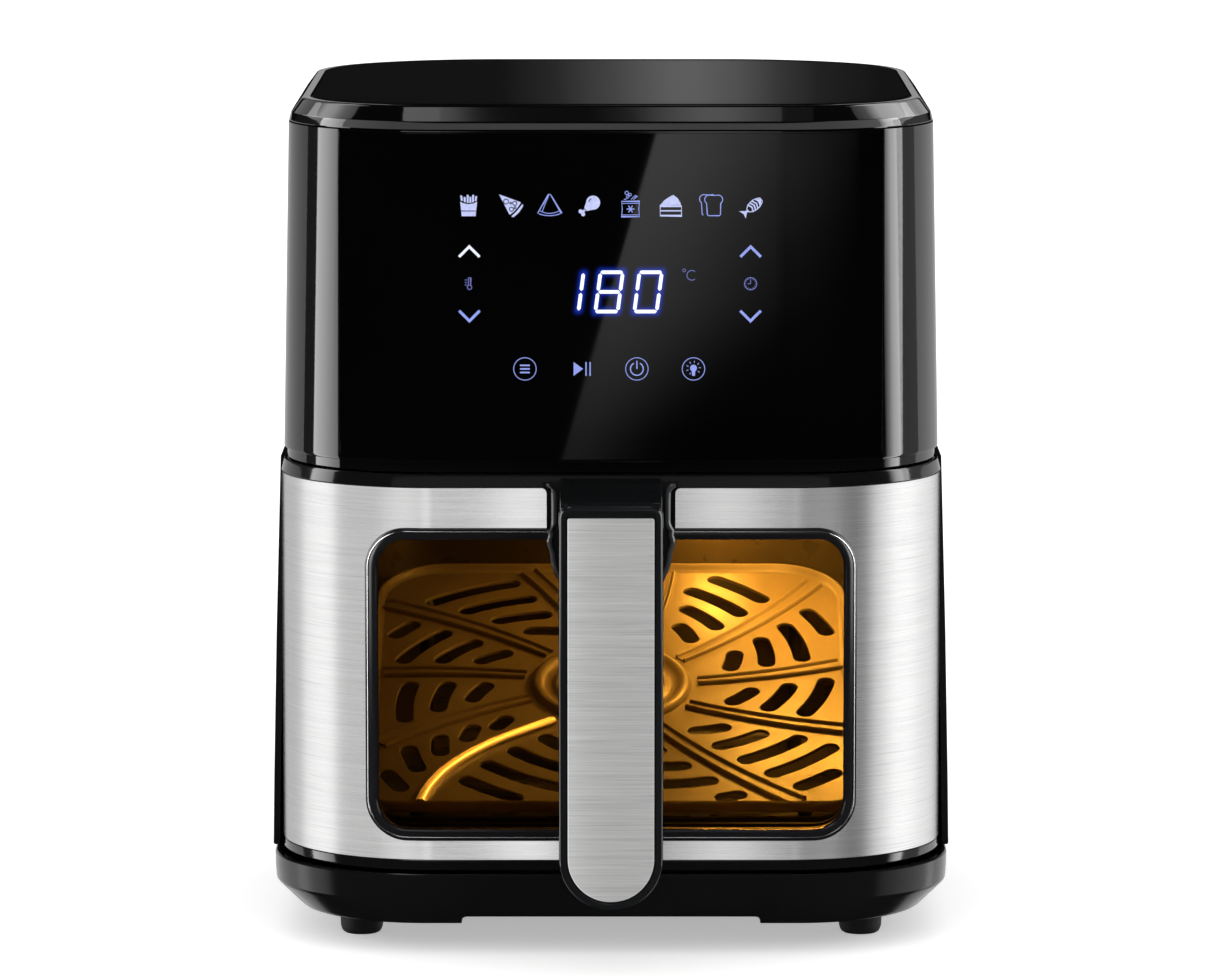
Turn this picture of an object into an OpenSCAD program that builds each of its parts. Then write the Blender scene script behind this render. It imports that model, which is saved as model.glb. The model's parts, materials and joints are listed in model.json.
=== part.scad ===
// Countertop air fryer with a viewing window: a housing with a fan-driven heater in its top,
// and a sliding drawer that carries a pan and a sloped crisper plate. Millimetres, +Z up, front at -Y.

/* [Body] */
// Half width of the body at its widest, just above the base
base_half_w = 136; // [132:0.5:140]
// Half width of the housing at the seam above the drawer
seam_half_w = 130.5; // [128:0.5:132]
// Half width of the housing under the top cap
top_half_w = 128; // [126:0.5:130]
// Depth of the body from the drawer's face to the rear wall
body_d = 286; // [284:1:290]
// How far the rear vent and the cord gland stand out of the rear wall
rear_out = 4; // [3:0.5:5]
// Overall height
height = 336; // [334:1:340]
// Radius of the body's front corners, seen from above
front_r = 62; // [60:1:64]
// Radius of the body's back corners, seen from above
back_r = 80; // [76:1:82]

/* [Drawer] */
// Height of the drawer front's lower edge
drawer_z0 = 34.1; // [33.6:0.1:34.4]
// Height of the drawer front's upper edge
drawer_z1 = 191.4; // [190:0.1:191.5]
// Half width of the drawer front
drawer_half_w = 131.7; // [130:0.1:131.8]
// Half width of the window frame
window_half_w = 96.4; // [90:0.2:98]
// Height of the window frame's lower edge
window_z0 = 46.1; // [45:0.1:48]
// Height of the window frame's upper edge
window_z1 = 170; // [168:0.1:171]
// Width of the window frame's bar
frame_bar = 4.5; // [3.5:0.1:5]

/* [Handle] */
// Distance from the drawer's face to the handle's face
handle_out = 44; // [40:1:48]
// Width of the handle
handle_w = 40.4; // [36:0.2:44]
// Height of the handle's rounded lower end
handle_z0 = 26.3; // [24:0.1:32]
// Height of the handle's upper edge
handle_z1 = 184.8; // [182:0.1:186]

/* [Crisper plate] */
// Slope of the plate towards the window, in degrees
plate_slope = 20; // [0:1:20]
// Number of curved ribs and of sectors of slots
plate_sectors = 11; // [8:1:12]
// Rows of slots round the hub
plate_slots = 5; // [3:1:6]

/* [Hidden] */
$fn = 48;
corner_n = 16;              // straight steps in each rounded corner of the body
gap = 0.2;                  // clearance between parts that are assembled face to face

// The body stands centred on the origin, with the handle counted in its depth.
total_d = handle_out + body_d + rear_out;
front_y = -total_d / 2 + handle_out;
back_y = front_y + body_d;

// Heights of the stack of housings
base_z0 = 10.3;
base_z1 = 32.5;
base_lift = 13.8;           // underside of the base between its pads
seam_z = drawer_z1 + 0.5;
cap_z = height - 10;
wall = 2.6;

// Drawer front
split_y = front_y + front_r + 2;        // where the drawer's wings end and the housing's sides begin
steel_z0 = drawer_z0 + 4.2;
steel_z1 = drawer_z1 - 5.4;
steel_t = 0.8;
neck_half_w = 25.2;                     // half width of the notch in the steel for the handle
window_r = 16;
cut_depth = 18;                         // how far behind the face the window's cut-outs reach
panel_y = front_y + 36;                 // front of the drawer's inner panel
panel_t = 2.5;

// Pan and crisper plate
pan_half_w = 105;
pan_y0 = panel_y + panel_t + 4.9;
pan_y1 = 135;
pan_z0 = 44;
pan_z1 = 170;
pan_t = 1.2;
plate_half_w = 99.5;
plate_y0 = pan_y0 + 4;
plate_l = 205;
plate_z0 = 49;
plate_t = 1.6;

// Hot chamber and fan
chamber_y = 46;
shield_z = 196;
shield_r = 98;
shield_top = 222;
separator_z = 226;
sheet_t = 0.8;              // sheet metal of the liner, heat shield and separator plate
separator_top = separator_z + sheet_t + 0.1;
shield_seat = shield_z + sheet_t + 0.1;
shaft_r = 3;
lamp_x = 92;
lamp_y = -36;

// ---------- outlines ----------

function arc(cx, cy, r, a0, a1, n = corner_n) =
    [for (i = [0:n]) let (a = a0 + (a1 - a0) * i / n) [cx + r * cos(a), cy + r * sin(a)]];

// A rectangle from y0 to y1 with one radius for its front corners and another for its back corners
function rounded(hw, y0, y1, r0, r1, n = corner_n) = concat(
    arc(hw - r0, y0 + r0, r0, -90, 0, n), arc(hw - r1, y1 - r1, r1, 0, 90, n),
    arc(r1 - hw, y1 - r1, r1, 90, 180, n), arc(r0 - hw, y0 + r0, r0, 180, 270, n));

// The body seen from above, pulled in by inset on every side
function plan(hw, inset = 0) = rounded(
    hw - inset, front_y + inset, back_y - inset, front_r - inset, back_r - inset);

// The drawer front seen from above: the body's front and corners, ending at y_end
function front_plan(inset, y_end) = let (w = drawer_half_w - inset, r = front_r - inset, y = front_y + front_r)
    concat([[-w, y_end]], arc(-(w - r), y, r, 180, 270), arc(w - r, y, r, 270, 360), [[w, y_end]]);

// ---------- shared shapes ----------

// A solid through stacked outlines of the body; each level is [height, half width, inset]
module loft(levels) {
    rings = [for (l = levels) plan(l[1], l[2])];
    n = len(rings[0]);
    m = len(levels);
    polyhedron(
        points = [for (k = [0:m - 1]) for (p = rings[k]) [p.x, p.y, levels[k][0]]],
        faces = concat(
            [[for (i = [0:n - 1]) i]],
            [for (k = [0:m - 2]) for (i = [0:n - 1])
                [k * n + i, (k + 1) * n + i, (k + 1) * n + (i + 1) % n, k * n + (i + 1) % n]],
            [[for (i = [n - 1:-1:0]) (m - 1) * n + i]]));
}

module slab(points, z0, z1) {
    translate([0, 0, z0]) linear_extrude(z1 - z0) polygon(points);
}

module block(low, high) {
    translate(low) cube(high - low);
}

// A rounded rectangle in the XZ plane, extruded from y0 to y1
module upright(hw, z0, z1, r, y0, y1) {
    translate([0, y1, 0]) rotate([90, 0, 0]) linear_extrude(y1 - y0) polygon(rounded(hw, z0, z1, r, r, 8));
}

// The same rectangle with a flat top and a half-round lower end
module tongue(hw, z0, z1, y0, y1) {
    translate([0, y1, 0]) rotate([90, 0, 0]) linear_extrude(y1 - y0)
        polygon(concat([[-hw, z1]], arc(0, z0 + hw, hw, 180, 360, 24), [[hw, z1]]));
}

module rod(from, r, length, axis = "z") {
    turn = axis == "y" ? [-90, 0, 0] : axis == "x" ? [0, 90, 0] : [0, 0, 0];
    translate(from) rotate(turn) cylinder(r = r, h = length);
}

// A pan-head screw whose shank runs up from the head
module screw(shank_r, length, head_r, head_h) {
    cylinder(r = head_r, h = head_h);
    translate([0, 0, head_h]) cylinder(r = shank_r, h = length);
}

// ---------- base ----------

foot_x = 100;
foot_ys = [front_y + 50, back_y - 46];
base_screw_spots = [for (x = [-112, 112]) for (y = [-10, 60]) [x, y]];

module base_tray() {
    vent_pitch = 12;
    color("#0d0d0e") difference() {
        loft([[base_z0, base_half_w, 13.5], [11.5, base_half_w, 11.3], [20.4, base_half_w, 2.2],
              [21.6, base_half_w, 1.4], [base_z1, base_half_w, 1]]);
        loft([[17.5, base_half_w, 13], [24, base_half_w, 6], [base_z1 + 1, base_half_w, 4.2]]);
        block([-59, front_y - 1, base_z0 - 1], [59, back_y + 1, base_lift]);
        for (i = [-4:4])
            block([i * vent_pitch - 2.5, 10, base_lift - 1], [i * vent_pitch + 2.5, 80, 18]);
        for (x = [-foot_x, foot_x]) for (y = foot_ys) rod([x, y, base_z0 - 1], 4.1, 10);
        for (p = base_screw_spots) rod([p.x, p.y, base_z0 - 1], 1.9, 10);
    }
}

module feet() {
    color("#151515") for (x = [-foot_x, foot_x]) for (y = foot_ys) translate([x, y, 0])
        rotate_extrude() polygon([[0, 0], [6.6, 0], [8, 1], [8.6, 3], [8.6, 10.2], [4, 10.2], [4, 16.8], [0, 16.8]]);
}

module base_screws() {
    color("#8d8f92") for (p = base_screw_spots) translate([p.x, p.y, base_z0 - 2])
        screw(1.6, 12, 3.6, 1.8);
}

// ---------- housings ----------

module lower_housing() {
    levels = [[33, base_half_w], [60, base_half_w - 0.4], [120, base_half_w - 1.7], [drawer_z1, seam_half_w + 1.7]];
    color("#0f0f10") difference() {
        loft([for (l = levels) [l[0], l[1], 0]]);
        loft([for (i = [0:3]) let (l = levels[i]) [l[0] + (i == 0 ? -1 : i == 3 ? 1 : 0), l[1], wall]]);
        block([-150, front_y - 5, 30], [150, split_y + 0.5, 200]);
        rod([gland_x, back_y - 6, gland_z], 7.1, 10, "y");
    }
}

// The upper housing's outer skin, pulled in by inset
function upper_levels(inset) =
    [[seam_z + 4.2, seam_half_w, inset], [cap_z - 0.3, top_half_w, inset]];

display_x = 70;
panel_x = 106.5;
panel_z0 = seam_z + 5.3;
panel_z1 = cap_z - 1.1;
lens_t = 2;

// The front lens, or with clear above 0 the pocket that takes it
module lens(clear) {
    intersection() {
        difference() {
            loft([[panel_z0 - 5, seam_half_w, -clear * 4], [panel_z1 + 5, top_half_w, -clear * 4]]);
            loft([[panel_z0 - 9, seam_half_w, lens_t + clear], [panel_z1 + 9, top_half_w, lens_t + clear]]);
        }
        block([-panel_x - clear, front_y - 5, panel_z0 - clear], [panel_x + clear, front_y + 30, panel_z1 + clear]);
    }
}

module upper_housing() {
    color("#0b0b0c") difference() {
        loft(concat([[seam_z, seam_half_w, 1.2], [seam_z + 3.8, seam_half_w, 1.2]], upper_levels(0)));
        loft([[seam_z - 1, seam_half_w, 3.9], [cap_z + 1, top_half_w, 3.9]]);
        lens(gap);
        block([-display_x, front_y - 1, panel_z0 + 25], [display_x, front_y + 6, panel_z1 - 14]);
        block([-42, back_y - 8, 222], [42, back_y + 3, 296]);
        for (p = rear_screw_spots) rod([p.x, back_y - 8, p[1]], 1.9, 12, "y");
    }
}

module control_panel() {
    color("#050506") lens(0);
}

module front_bulkhead() {
    color("#1b1b1c") intersection() {
        slab(plan(seam_half_w, 4.6), seam_z + 0.6, seam_z + 2.6);
        block([-150, front_y, seam_z], [150, split_y + 1.5, seam_z + 5]);
    }
}

module top_cap() {
    color("#161617") difference() {
        loft([[cap_z, top_half_w, 0.2], [cap_z + 3.4, top_half_w, 0.2], [height - 1, top_half_w, 4.4],
              [height - 0.2, top_half_w, 5.8]]);
        loft([[height - 2.4, top_half_w, 6.7], [height + 1, top_half_w, 6.7]]);
        loft([[cap_z - 1, top_half_w, 3.9], [cap_z + 2.6, top_half_w, 3.9], [cap_z + 5, top_half_w, 8]]);
    }
}

module top_plate() {
    color("#0a0a0b") loft([[height - 2.4, top_half_w, 6.9], [height - 0.5, top_half_w, 6.9],
                           [height, top_half_w, 7.6]]);
}

// ---------- cavity and hot chamber ----------

liner_half_w = 114;
liner_y0 = split_y + 2;
liner_y1 = 150;
liner_r = 44;

module cavity_liner() {
    color("#8f9193") difference() {
        slab(rounded(liner_half_w, liner_y0, liner_y1, 1, liner_r), 36, shield_z - 0.1);
        slab(rounded(liner_half_w - sheet_t, liner_y0 - 40, liner_y1 - sheet_t, 1, liner_r - sheet_t),
             36 + sheet_t, shield_z + 5);
    }
}

module guide_rails() {
    color("#9a9c9f") for (s = [-1, 1])
        block([s * 109.9 - 3, liner_y0 + 2, 163], [s * 109.9 + 3, 110, 168.2]);
}

module heat_shield() {
    color("#a7a9ac") difference() {
        union() {
            slab(rounded(liner_half_w, liner_y0 + 1, liner_y1, 3, liner_r), shield_z, shield_z + sheet_t);
            rod([0, chamber_y, shield_z], shield_r + sheet_t, shield_top + sheet_t - shield_z);
        }
        rod([0, chamber_y, shield_z - 1], shield_r, shield_top + 1 - shield_z);
        rod([0, chamber_y, shield_top - 1], 9, 5);
        rod([0, chamber_y + 76, shield_top - 1], 13, 5);
        for (a = element_ends) lead_hole(a);
        rod([lamp_x, lamp_y, shield_z - 1], 9.5, 4);
        rod([-lamp_x, lamp_y, shield_z - 1], 2.4, 4);
    }
}

module separator_plate() {
    color("#b4b6b8") difference() {
        slab(plan(top_half_w + 1.6, 4.6), separator_z, separator_z + sheet_t);
        rod([0, chamber_y, separator_z - 1], 9, 4);
        rod([0, chamber_y + 76, separator_z - 1], 13, 4);
        for (a = element_ends) lead_hole(a);
    }
}

// The element is a flat spiral of tube, with both ends turned up through the shield.
coil_r0 = 66;
coil_r1 = 88;
coil_turns = 2.5;
coil_z = 201;
coil_tube_r = 3.1;
coil_steps = 100;
element_ends = [[0, coil_r0], [coil_turns * 360, coil_r1]];

module lead_hole(end) {
    translate([0, chamber_y, 0]) rotate(end[0]) rod([end[1], 0, shield_top - 3], 5, 12);
}

function coil_point(i) = let (t = i / coil_steps, a = t * coil_turns * 360, r = coil_r0 + t * (coil_r1 - coil_r0))
    [r * cos(a), r * sin(a), a];

module heating_element() {
    sides = 10;
    color("#5b5048") translate([0, chamber_y, coil_z]) {
        polyhedron(
            points = [for (i = [0:coil_steps]) let (p = coil_point(i)) for (k = [0:sides - 1])
                let (b = 360 * k / sides, r = norm([p.x, p.y]) + coil_tube_r * cos(b))
                    [r * cos(p.z), r * sin(p.z), coil_tube_r * sin(b)]],
            faces = concat(
                [[for (k = [sides - 1:-1:0]) k]],
                [for (i = [0:coil_steps - 1]) for (k = [0:sides - 1]) let (j = (k + 1) % sides)
                    [i * sides + k, i * sides + j, (i + 1) * sides + j, (i + 1) * sides + k]],
                [[for (k = [0:sides - 1]) coil_steps * sides + k]]));
        for (end = element_ends) rotate(end[0]) translate([end[1], 0, 0]) {
            sphere(r = coil_tube_r + 0.2);
            cylinder(r = coil_tube_r, h = 34);
        }
    }
}

module element_clips() {
    color("#c2c4c6") for (a = [60, 180, 300]) translate([0, chamber_y, 0]) rotate(a)
        block([91.4, -4, coil_z - 3], [92.6, 4, shield_top - 0.1]);
}

module element_guard() {
    wire_r = 1.2;
    color("#c9cbcd") translate([0, chamber_y, shield_z - wire_r - 0.2]) {
        for (r = [22, 41, 60, 79, 101]) rotate_extrude() translate([r, 0]) circle(wire_r);
        for (a = [0, 90]) rotate([0, 90, a]) translate([0, 0, -101]) cylinder(r = wire_r, h = 202);
    }
}

// ---------- motor and fans ----------

motor_z = 231.6;
motor_screw_spots = [for (x = [-44, 44]) for (y = [-7, 7]) [x, chamber_y + y]];

module motor_bracket() {
    color("#a1a3a6") difference() {
        union() {
            block([-52, chamber_y - 14, motor_z - 2], [52, chamber_y + 14, motor_z]);
            for (s = [-1, 1]) translate([s * 49.5, 0, 0])
                block([-2.5, chamber_y - 14, separator_top], [2.5, chamber_y + 14, motor_z - 1]);
        }
        rod([0, chamber_y, motor_z - 5], 9, 8);
        for (p = motor_screw_spots) rod([p.x, p.y, motor_z - 3], 1.9, 6);
    }
}

module motor() {
    color("#6f7276") difference() {
        union() {
            rod([0, chamber_y, motor_z], 31, 30);
            block([-34, chamber_y - 20, motor_z + 6], [34, chamber_y + 20, motor_z + 22]);
            block([-48, chamber_y - 11, motor_z], [48, chamber_y + 11, motor_z + 2.5]);
        }
        rod([0, chamber_y, motor_z - 1], shaft_r + 0.05, 33);
        for (p = motor_screw_spots) rod([p.x, p.y, motor_z - 1], 1.9, 5);
    }
}

module motor_screws() {
    color("#8d8f92") for (p = motor_screw_spots) translate([p.x, p.y, motor_z + 4.5]) mirror([0, 0, 1])
        screw(1.6, 6, 3.2, 1.9);
}

module motor_shaft() {
    color("#b9bbbd") rod([0, chamber_y, 203], shaft_r, 73);
}

module hot_fan() {
    color("#b0b2b4") translate([0, chamber_y, 0]) difference() {
        union() {
            rod([0, 0, 205], 9, 13);
            rod([0, 0, 216.4], 50, 1.4);
            for (i = [0:9]) rotate(i * 36) block([8, -0.7, 208], [56, 0.7, 217]);
        }
        rod([0, 0, 204], shaft_r + 0.02, 16);
    }
}

module cooling_fan() {
    color("#3a3b3d") translate([0, chamber_y, 268]) difference() {
        union() {
            cylinder(r = 9, h = 7);
            for (i = [0:6]) rotate(i * 360 / 7) translate([7, 0, 3.5]) rotate([30, 0, 0])
                block([0, -5, -0.6], [28, 5, 0.6]);
        }
        translate([0, 0, -3]) cylinder(r = shaft_r + 0.02, h = 14);
    }
}

// ---------- electronics ----------

board_y = front_y + 9;
board_z0 = separator_z + 4;
board_z1 = panel_z1 - 18;
icon_row_z = 297;
food_xs = [for (i = [-3.5:1:3.5]) i * 15.75];
key_xs = [-33.3, -11.5, 10.3, 32.2];

module board_carrier() {
    color("#1d1d1f") difference() {
        block([-68, board_y - 2, board_z0 - 2], [68, board_y + 5, board_z1 + 3]);
        block([-63, board_y - 3, board_z0], [63, board_y + 6, board_z1 + 1]);
    }
}

module display_board() {
    color("#1f5a36") block([-62.7, board_y, board_z0 + 0.3], [62.7, board_y + 1.6, board_z1 + 0.7]);
}

module display_module() {
    color("#2a2b2e") block([-24, front_y + lens_t + 0.3, 250], [24, board_y - 0.1, 275.5]);
}

module touch_pads() {
    spots = concat([for (x = food_xs) [x, icon_row_z]], [for (x = key_xs) [x, 233]],
                   [for (x = [-55, 54]) for (z = [278.8, 253.7]) [x, z]]);
    color("#c9b37a") for (p = spots)
        rod([p.x, front_y + lens_t + 0.3, p[1]], 2.6, board_y - 0.1 - front_y - lens_t - 0.3, "y");
}

module power_board() {
    color("#7a6a2c") block([-112, -30, 238], [-48, 64, 239.6]);
}

board_spots = [for (x = [-107, -56]) for (y = [-25, 59]) [x, y]];

module board_standoffs() {
    color("#d8d8d4") for (p = board_spots) rod([p.x, p.y, separator_top], 3, 237.9 - separator_top);
}

module power_components() {
    color("#2b3d52") {
        block([-104, -20, 239.7], [-84, -4, 256]);
        block([-104, 2, 239.7], [-84, 18, 256]);
        block([-76, -18, 239.7], [-54, 12, 262]);
        rod([-94, 34, 239.7], 7, 22);
        rod([-72, 34, 239.7], 5, 16);
        block([-80, 48, 239.7], [-62, 60, 248]);
    }
}

module temperature_probe() {
    color("#c4c6c8") translate([-lamp_x, lamp_y, 0]) {
        rod([0, 0, 182], 2, 30);
        rod([0, 0, shield_seat], 5, 3);
    }
}

module thermal_cutout() {
    color("#d0d2d4") translate([62, 0, separator_top]) {
        cylinder(r = 9, h = 4);
        block([-12, -1.5, 0], [12, 1.5, 1]);
    }
}

// ---------- lamp ----------

module lamp_holder() {
    color("#e6e3da") translate([lamp_x, lamp_y, 0]) difference() {
        rod([0, 0, shield_seat], 12, 18);
        rod([0, 0, shield_z], 7, 12);
    }
}

module lamp_bulb() {
    color("#ffd9a0") translate([lamp_x, lamp_y, 0]) {
        rod([0, 0, 192], 5, 16);
        translate([0, 0, 192]) sphere(r = 5);
    }
}

module lamp_cover() {
    color("#f2ead8") translate([lamp_x, lamp_y, 0]) rotate_extrude()
        polygon(concat(arc(0, 188, 8.5, -90, 0, 8), [[8.5, 195], [11.5, 195], [11.5, 195.8], [7.5, 195.8]],
                       arc(0, 188, 7.5, 0, -90, 8)));
}

// ---------- door switch ----------

switch_x = -120;
switch_z = 120;
switch_y = split_y + 6.5;

module door_switch() {
    color("#232326") difference() {
        block([switch_x - 5, switch_y, switch_z - 8], [switch_x + 5, switch_y + 20, switch_z + 8]);
        rod([switch_x, switch_y - 1, switch_z], 1.85, 9, "y");
    }
}

module switch_bracket() {
    color("#a7a9ac") block([-liner_half_w - 0.9, switch_y - 2, switch_z - 12],
                           [-liner_half_w - 0.1, switch_y + 22, switch_z + 12]);
}

module switch_plunger() {
    color("#c53b2f") rod([switch_x, split_y - 0.2, switch_z], 1.8, 12, "y");
}

// ---------- rear ----------

gland_x = -35;
gland_z = 50;
vent_half_w = 54;
vent_z0 = 212;
vent_z1 = 306;
rear_screw_spots = [for (x = [-49.5, 49.5]) for (z = [vent_z0 + 5, vent_z1 - 5]) [x, z]];

module exhaust_duct() {
    color("#9fa1a4") difference() {
        block([-32, chamber_y + 58, separator_top], [32, back_y - 4.2, 262]);
        block([-30.5, chamber_y + 59.5, separator_top + 1.5], [30.5, back_y + 5, 260.5]);
        rod([0, chamber_y + 76, separator_z], 13, 6);
    }
}

module rear_vent_cover() {
    color("#121213") difference() {
        upright(vent_half_w, vent_z0, vent_z1, 6, back_y + 0.3, back_y + rear_out);
        for (i = [0:8])
            block([-40, back_y - 1, 222.5 + i * 8.2], [40, back_y + rear_out + 1, 226.5 + i * 8.2]);
        for (p = rear_screw_spots) {
            rod([p.x, back_y - 1, p[1]], 1.9, 8, "y");
            rod([p.x, back_y + rear_out - 2, p[1]], 3.3, 4, "y");
        }
    }
}

module rear_screws() {
    color("#8d8f92") for (p = rear_screw_spots) translate([p.x, back_y + rear_out - 0.2, p[1]])
        rotate([90, 0, 0]) screw(1.6, 7, 3, 1.6);
}

// A bush through the rear wall, with a throat that grips the lead and a wider mouth outside it
module cord_gland() {
    color("#171718") translate([gland_x, 0, gland_z]) difference() {
        union() {
            rod([0, back_y - 11, 0], 6.9, 12, "y");
            rod([0, back_y + 0.2, 0], 10, rear_out - 0.2, "y");
        }
        rod([0, back_y - 12, 0], 3.6, 20, "y");
        rod([0, back_y - 3, 0], 4.6, 10, "y");
    }
}

module terminal_block() {
    color("#ddd8c8") block([-14, liner_y1 + 1, 42], [16, liner_y1 + 9, 54]);
}

// ---------- drawer front ----------

module drawer_shell() {
    shell_t = 3.6;
    color("#101011") difference() {
        slab(front_plan(0, split_y), drawer_z0, drawer_z1);
        slab(front_plan(shell_t, split_y + 1), drawer_z0 + 3, drawer_z1 - 3);
        difference() {
            slab(front_plan(-2, split_y + 1), steel_z0 - 0.1, steel_z1 + 0.1);
            slab(front_plan(steel_t + 0.1, split_y + 2), steel_z0 - 1, steel_z1 + 1);
            block([-neck_half_w + 0.1, front_y - 5, window_z1 - 3], [neck_half_w - 0.1, front_y + 5, steel_z1 + 1]);
        }
        window_block(-0.3);
    }
    color("#101011") intersection() {
        difference() {
            for (p = drawer_screw_spots) rod([p.x, front_y, p[1]], 4, panel_y - 0.1 - front_y, "y");
            for (p = drawer_screw_spots) rod([p.x, panel_y - 9, p[1]], 1.65, 10, "y");
        }
        slab(front_plan(2, split_y), drawer_z0, drawer_z1);
    }
}

module steel_cladding() {
    color("#c9cacb") difference() {
        slab(front_plan(0, split_y - 0.6), steel_z0, steel_z1);
        slab(front_plan(steel_t, split_y + 1), steel_z0 - 1, steel_z1 + 1);
        window_block(-0.2);
        block([-neck_half_w, front_y - 5, window_z1 - 3], [neck_half_w, front_y + 5, steel_z1 + 1]);
    }
}

// The window's outline as a solid, cut inside the frame's edge
module window_block(cut) {
    upright(window_half_w - cut, window_z0 + cut, window_z1 - cut, window_r - cut, front_y - 6, front_y + cut_depth);
}

// A layer of the curved drawer front, from inset i0 to inset i1
module front_layer(i0, i1) {
    difference() {
        slab(front_plan(i0, split_y), drawer_z0 + 4, drawer_z1 - 4);
        slab(front_plan(i1, split_y + 1), drawer_z0 + 3, drawer_z1 - 3);
    }
}

// That layer within the window's outline
module window_layer(i0, i1, cut) {
    intersection() {
        front_layer(i0, i1);
        window_block(cut);
    }
}

// The same as a ring of width bar
module window_ring(i0, i1, cut, bar) {
    difference() {
        window_layer(i0, i1, cut);
        window_block(cut + bar);
    }
}

module window_frame() {
    color("#131314") window_ring(-1.3, 1.3, 0, frame_bar);
}

module window_glass() {
    color("#4a3512", 0.5) window_layer(1.4, 4.4, 0.2);
}

module window_gasket() {
    color("#202022") window_ring(4.5, 5.7, 0.4, 3.6);
}

module window_retainer() {
    color("#2a2a2c") {
        window_ring(5.8, 7.4, -4.8, 8.8);
        window_ring(3.7, 5.8, -4.8, 4.5);
    }
}

module inner_panel() {
    color("#1a1a1b") difference() {
        union() {
            upright(121.4, drawer_z0 + 3.1, drawer_z1 - 3.1, 6, panel_y, panel_y + panel_t);
            block([switch_x - 1.3, panel_y + 1, switch_z - 5], [switch_x + 1.3, split_y - 0.5, switch_z + 5]);
        }
        upright(93.5, 46.5, 165.5, 12, panel_y - 1, panel_y + panel_t + 1);
        for (p = drawer_screw_spots) rod([p.x, panel_y - 1, p[1]], 1.9, panel_t + 2, "y");
    }
}

drawer_screw_spots = [for (x = [-112, 112]) for (z = [46, 112, 178]) [x, z]];

module drawer_screws() {
    color("#8d8f92") for (p = drawer_screw_spots)
        translate([p.x, panel_y + panel_t + 1.9, p[1]]) rotate([90, 0, 0]) screw(1.6, 10, 3.4, 1.8);
}

// ---------- handle ----------

handle_y = front_y - handle_out;
handle_t = 15;
insert_t = 1;
handle_split = 8;

// The raised plate behind the handle, which widens below the steel and closes under the neck
module handle_shield() {
    low_z = window_z1 - 38;
    outline = concat(
        [[-24.2, drawer_z1 - 3.5], [-23, drawer_z1 - 8], [-23, 171], [-24.8, 166]],
        arc(0, low_z + 16, 17, 200, 340, 10),
        [[24.8, 166], [23, 171], [23, drawer_z1 - 8], [24.2, drawer_z1 - 3.5]]);
    color("#121213") translate([0, front_y - 1.4, 0]) rotate([90, 0, 0]) linear_extrude(2) polygon(outline);
}

module handle_neck() {
    half_w = handle_w / 2 - 0.6;
    y0 = front_y - 3.5;
    y1 = handle_y + handle_t + 0.1;
    color("#101011") translate([-half_w, 0, 0]) rotate([90, 0, 90]) linear_extrude(2 * half_w)
        polygon([[y0, drawer_z1 - 0.6], [y1, handle_z1 + 1.5], [y1, 152], [y0, 146]]);
}

module handle_back() {
    color("#101011") tongue(handle_w / 2, handle_z0, handle_z1, handle_y + handle_split + 0.1, handle_y + handle_t);
}

module handle_front() {
    color("#111112") difference() {
        tongue(handle_w / 2, handle_z0, handle_z1, handle_y, handle_y + handle_split);
        tongue(handle_w / 2 - 3.1, handle_z0 + 3, handle_z1 - 4.8, handle_y - 1, handle_y + insert_t);
    }
}

module handle_insert() {
    color("#b9babb") tongue(handle_w / 2 - 3.3, handle_z0 + 3.2, handle_z1 - 5, handle_y + 0.05, handle_y + insert_t);
}

// ---------- pan and crisper plate ----------

module pan() {
    color("#2b2a29") difference() {
        union() {
            slab(rounded(pan_half_w, pan_y0, pan_y1, 9, 34), pan_z0, pan_z1);
            slab(rounded(pan_half_w + 5, pan_y0 + 20, pan_y1 + 5, 5, 39), pan_z1 - 1.5, pan_z1);
        }
        slab(rounded(pan_half_w - pan_t, pan_y0 + pan_t, pan_y1 - pan_t, 7.8, 32.8), pan_z0 + pan_t, pan_z1 + 1);
        upright(94.5, 48, 164.5, 12, pan_y0 - 1, pan_y0 + pan_t + 1);
    }
}

module pan_glass() {
    color("#5a4016", 0.5) upright(98, 44.8, 168.5, 14, panel_y + panel_t + 0.1, panel_y + panel_t + 3.1);
}

module pan_glass_seal() {
    color("#1d1d1f") difference() {
        upright(98, 44.8, 168.5, 14, panel_y + panel_t + 3.2, panel_y + panel_t + 4.8);
        upright(94.8, 47.7, 165, 12, panel_y + panel_t + 2, panel_y + panel_t + 6);
    }
}

plate_centre = plate_y0 + plate_l / 2;
hub_r = 13;

// A slot bowed along a circle about the plate's centre, from angle a0 to a1, with round ends
function slot(r, a0, a1, half_w) = let (n = 5, end = half_w / r * 57.3, lean = 6) concat(
    [for (i = [0:n]) let (t = i / n, a = a0 + (a1 - a0) * t, q = r + half_w + lean * (t - 0.5))
        [q * cos(a), plate_centre + q * sin(a)]],
    [[(r + lean / 2) * cos(a1 + end), plate_centre + (r + lean / 2) * sin(a1 + end)]],
    [for (i = [n:-1:0]) let (t = i / n, a = a0 + (a1 - a0) * t, q = r - half_w + lean * (t - 0.5))
        [q * cos(a), plate_centre + q * sin(a)]],
    [[(r - lean / 2) * cos(a0 - end), plate_centre + (r - lean / 2) * sin(a0 - end)]]);

// The ribs sweep round as they run outwards: their angle at radius r
function rib_angle(k, r) = 5 + k * 360 / plate_sectors + (r - 45) * 0.105;

// Whether every point of an outline lies inside the plate's edge by a margin
function fits(points, margin) = let (w = plate_half_w - margin, l = plate_l / 2 - margin, r = 24)
    max([for (p = points) let (x = abs(p.x), y = abs(p.y - plate_centre))
        max(x - w, y - l, norm([max(x - w + r, 0), max(y - l + r, 0)]) - r)]) < 0;

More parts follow.
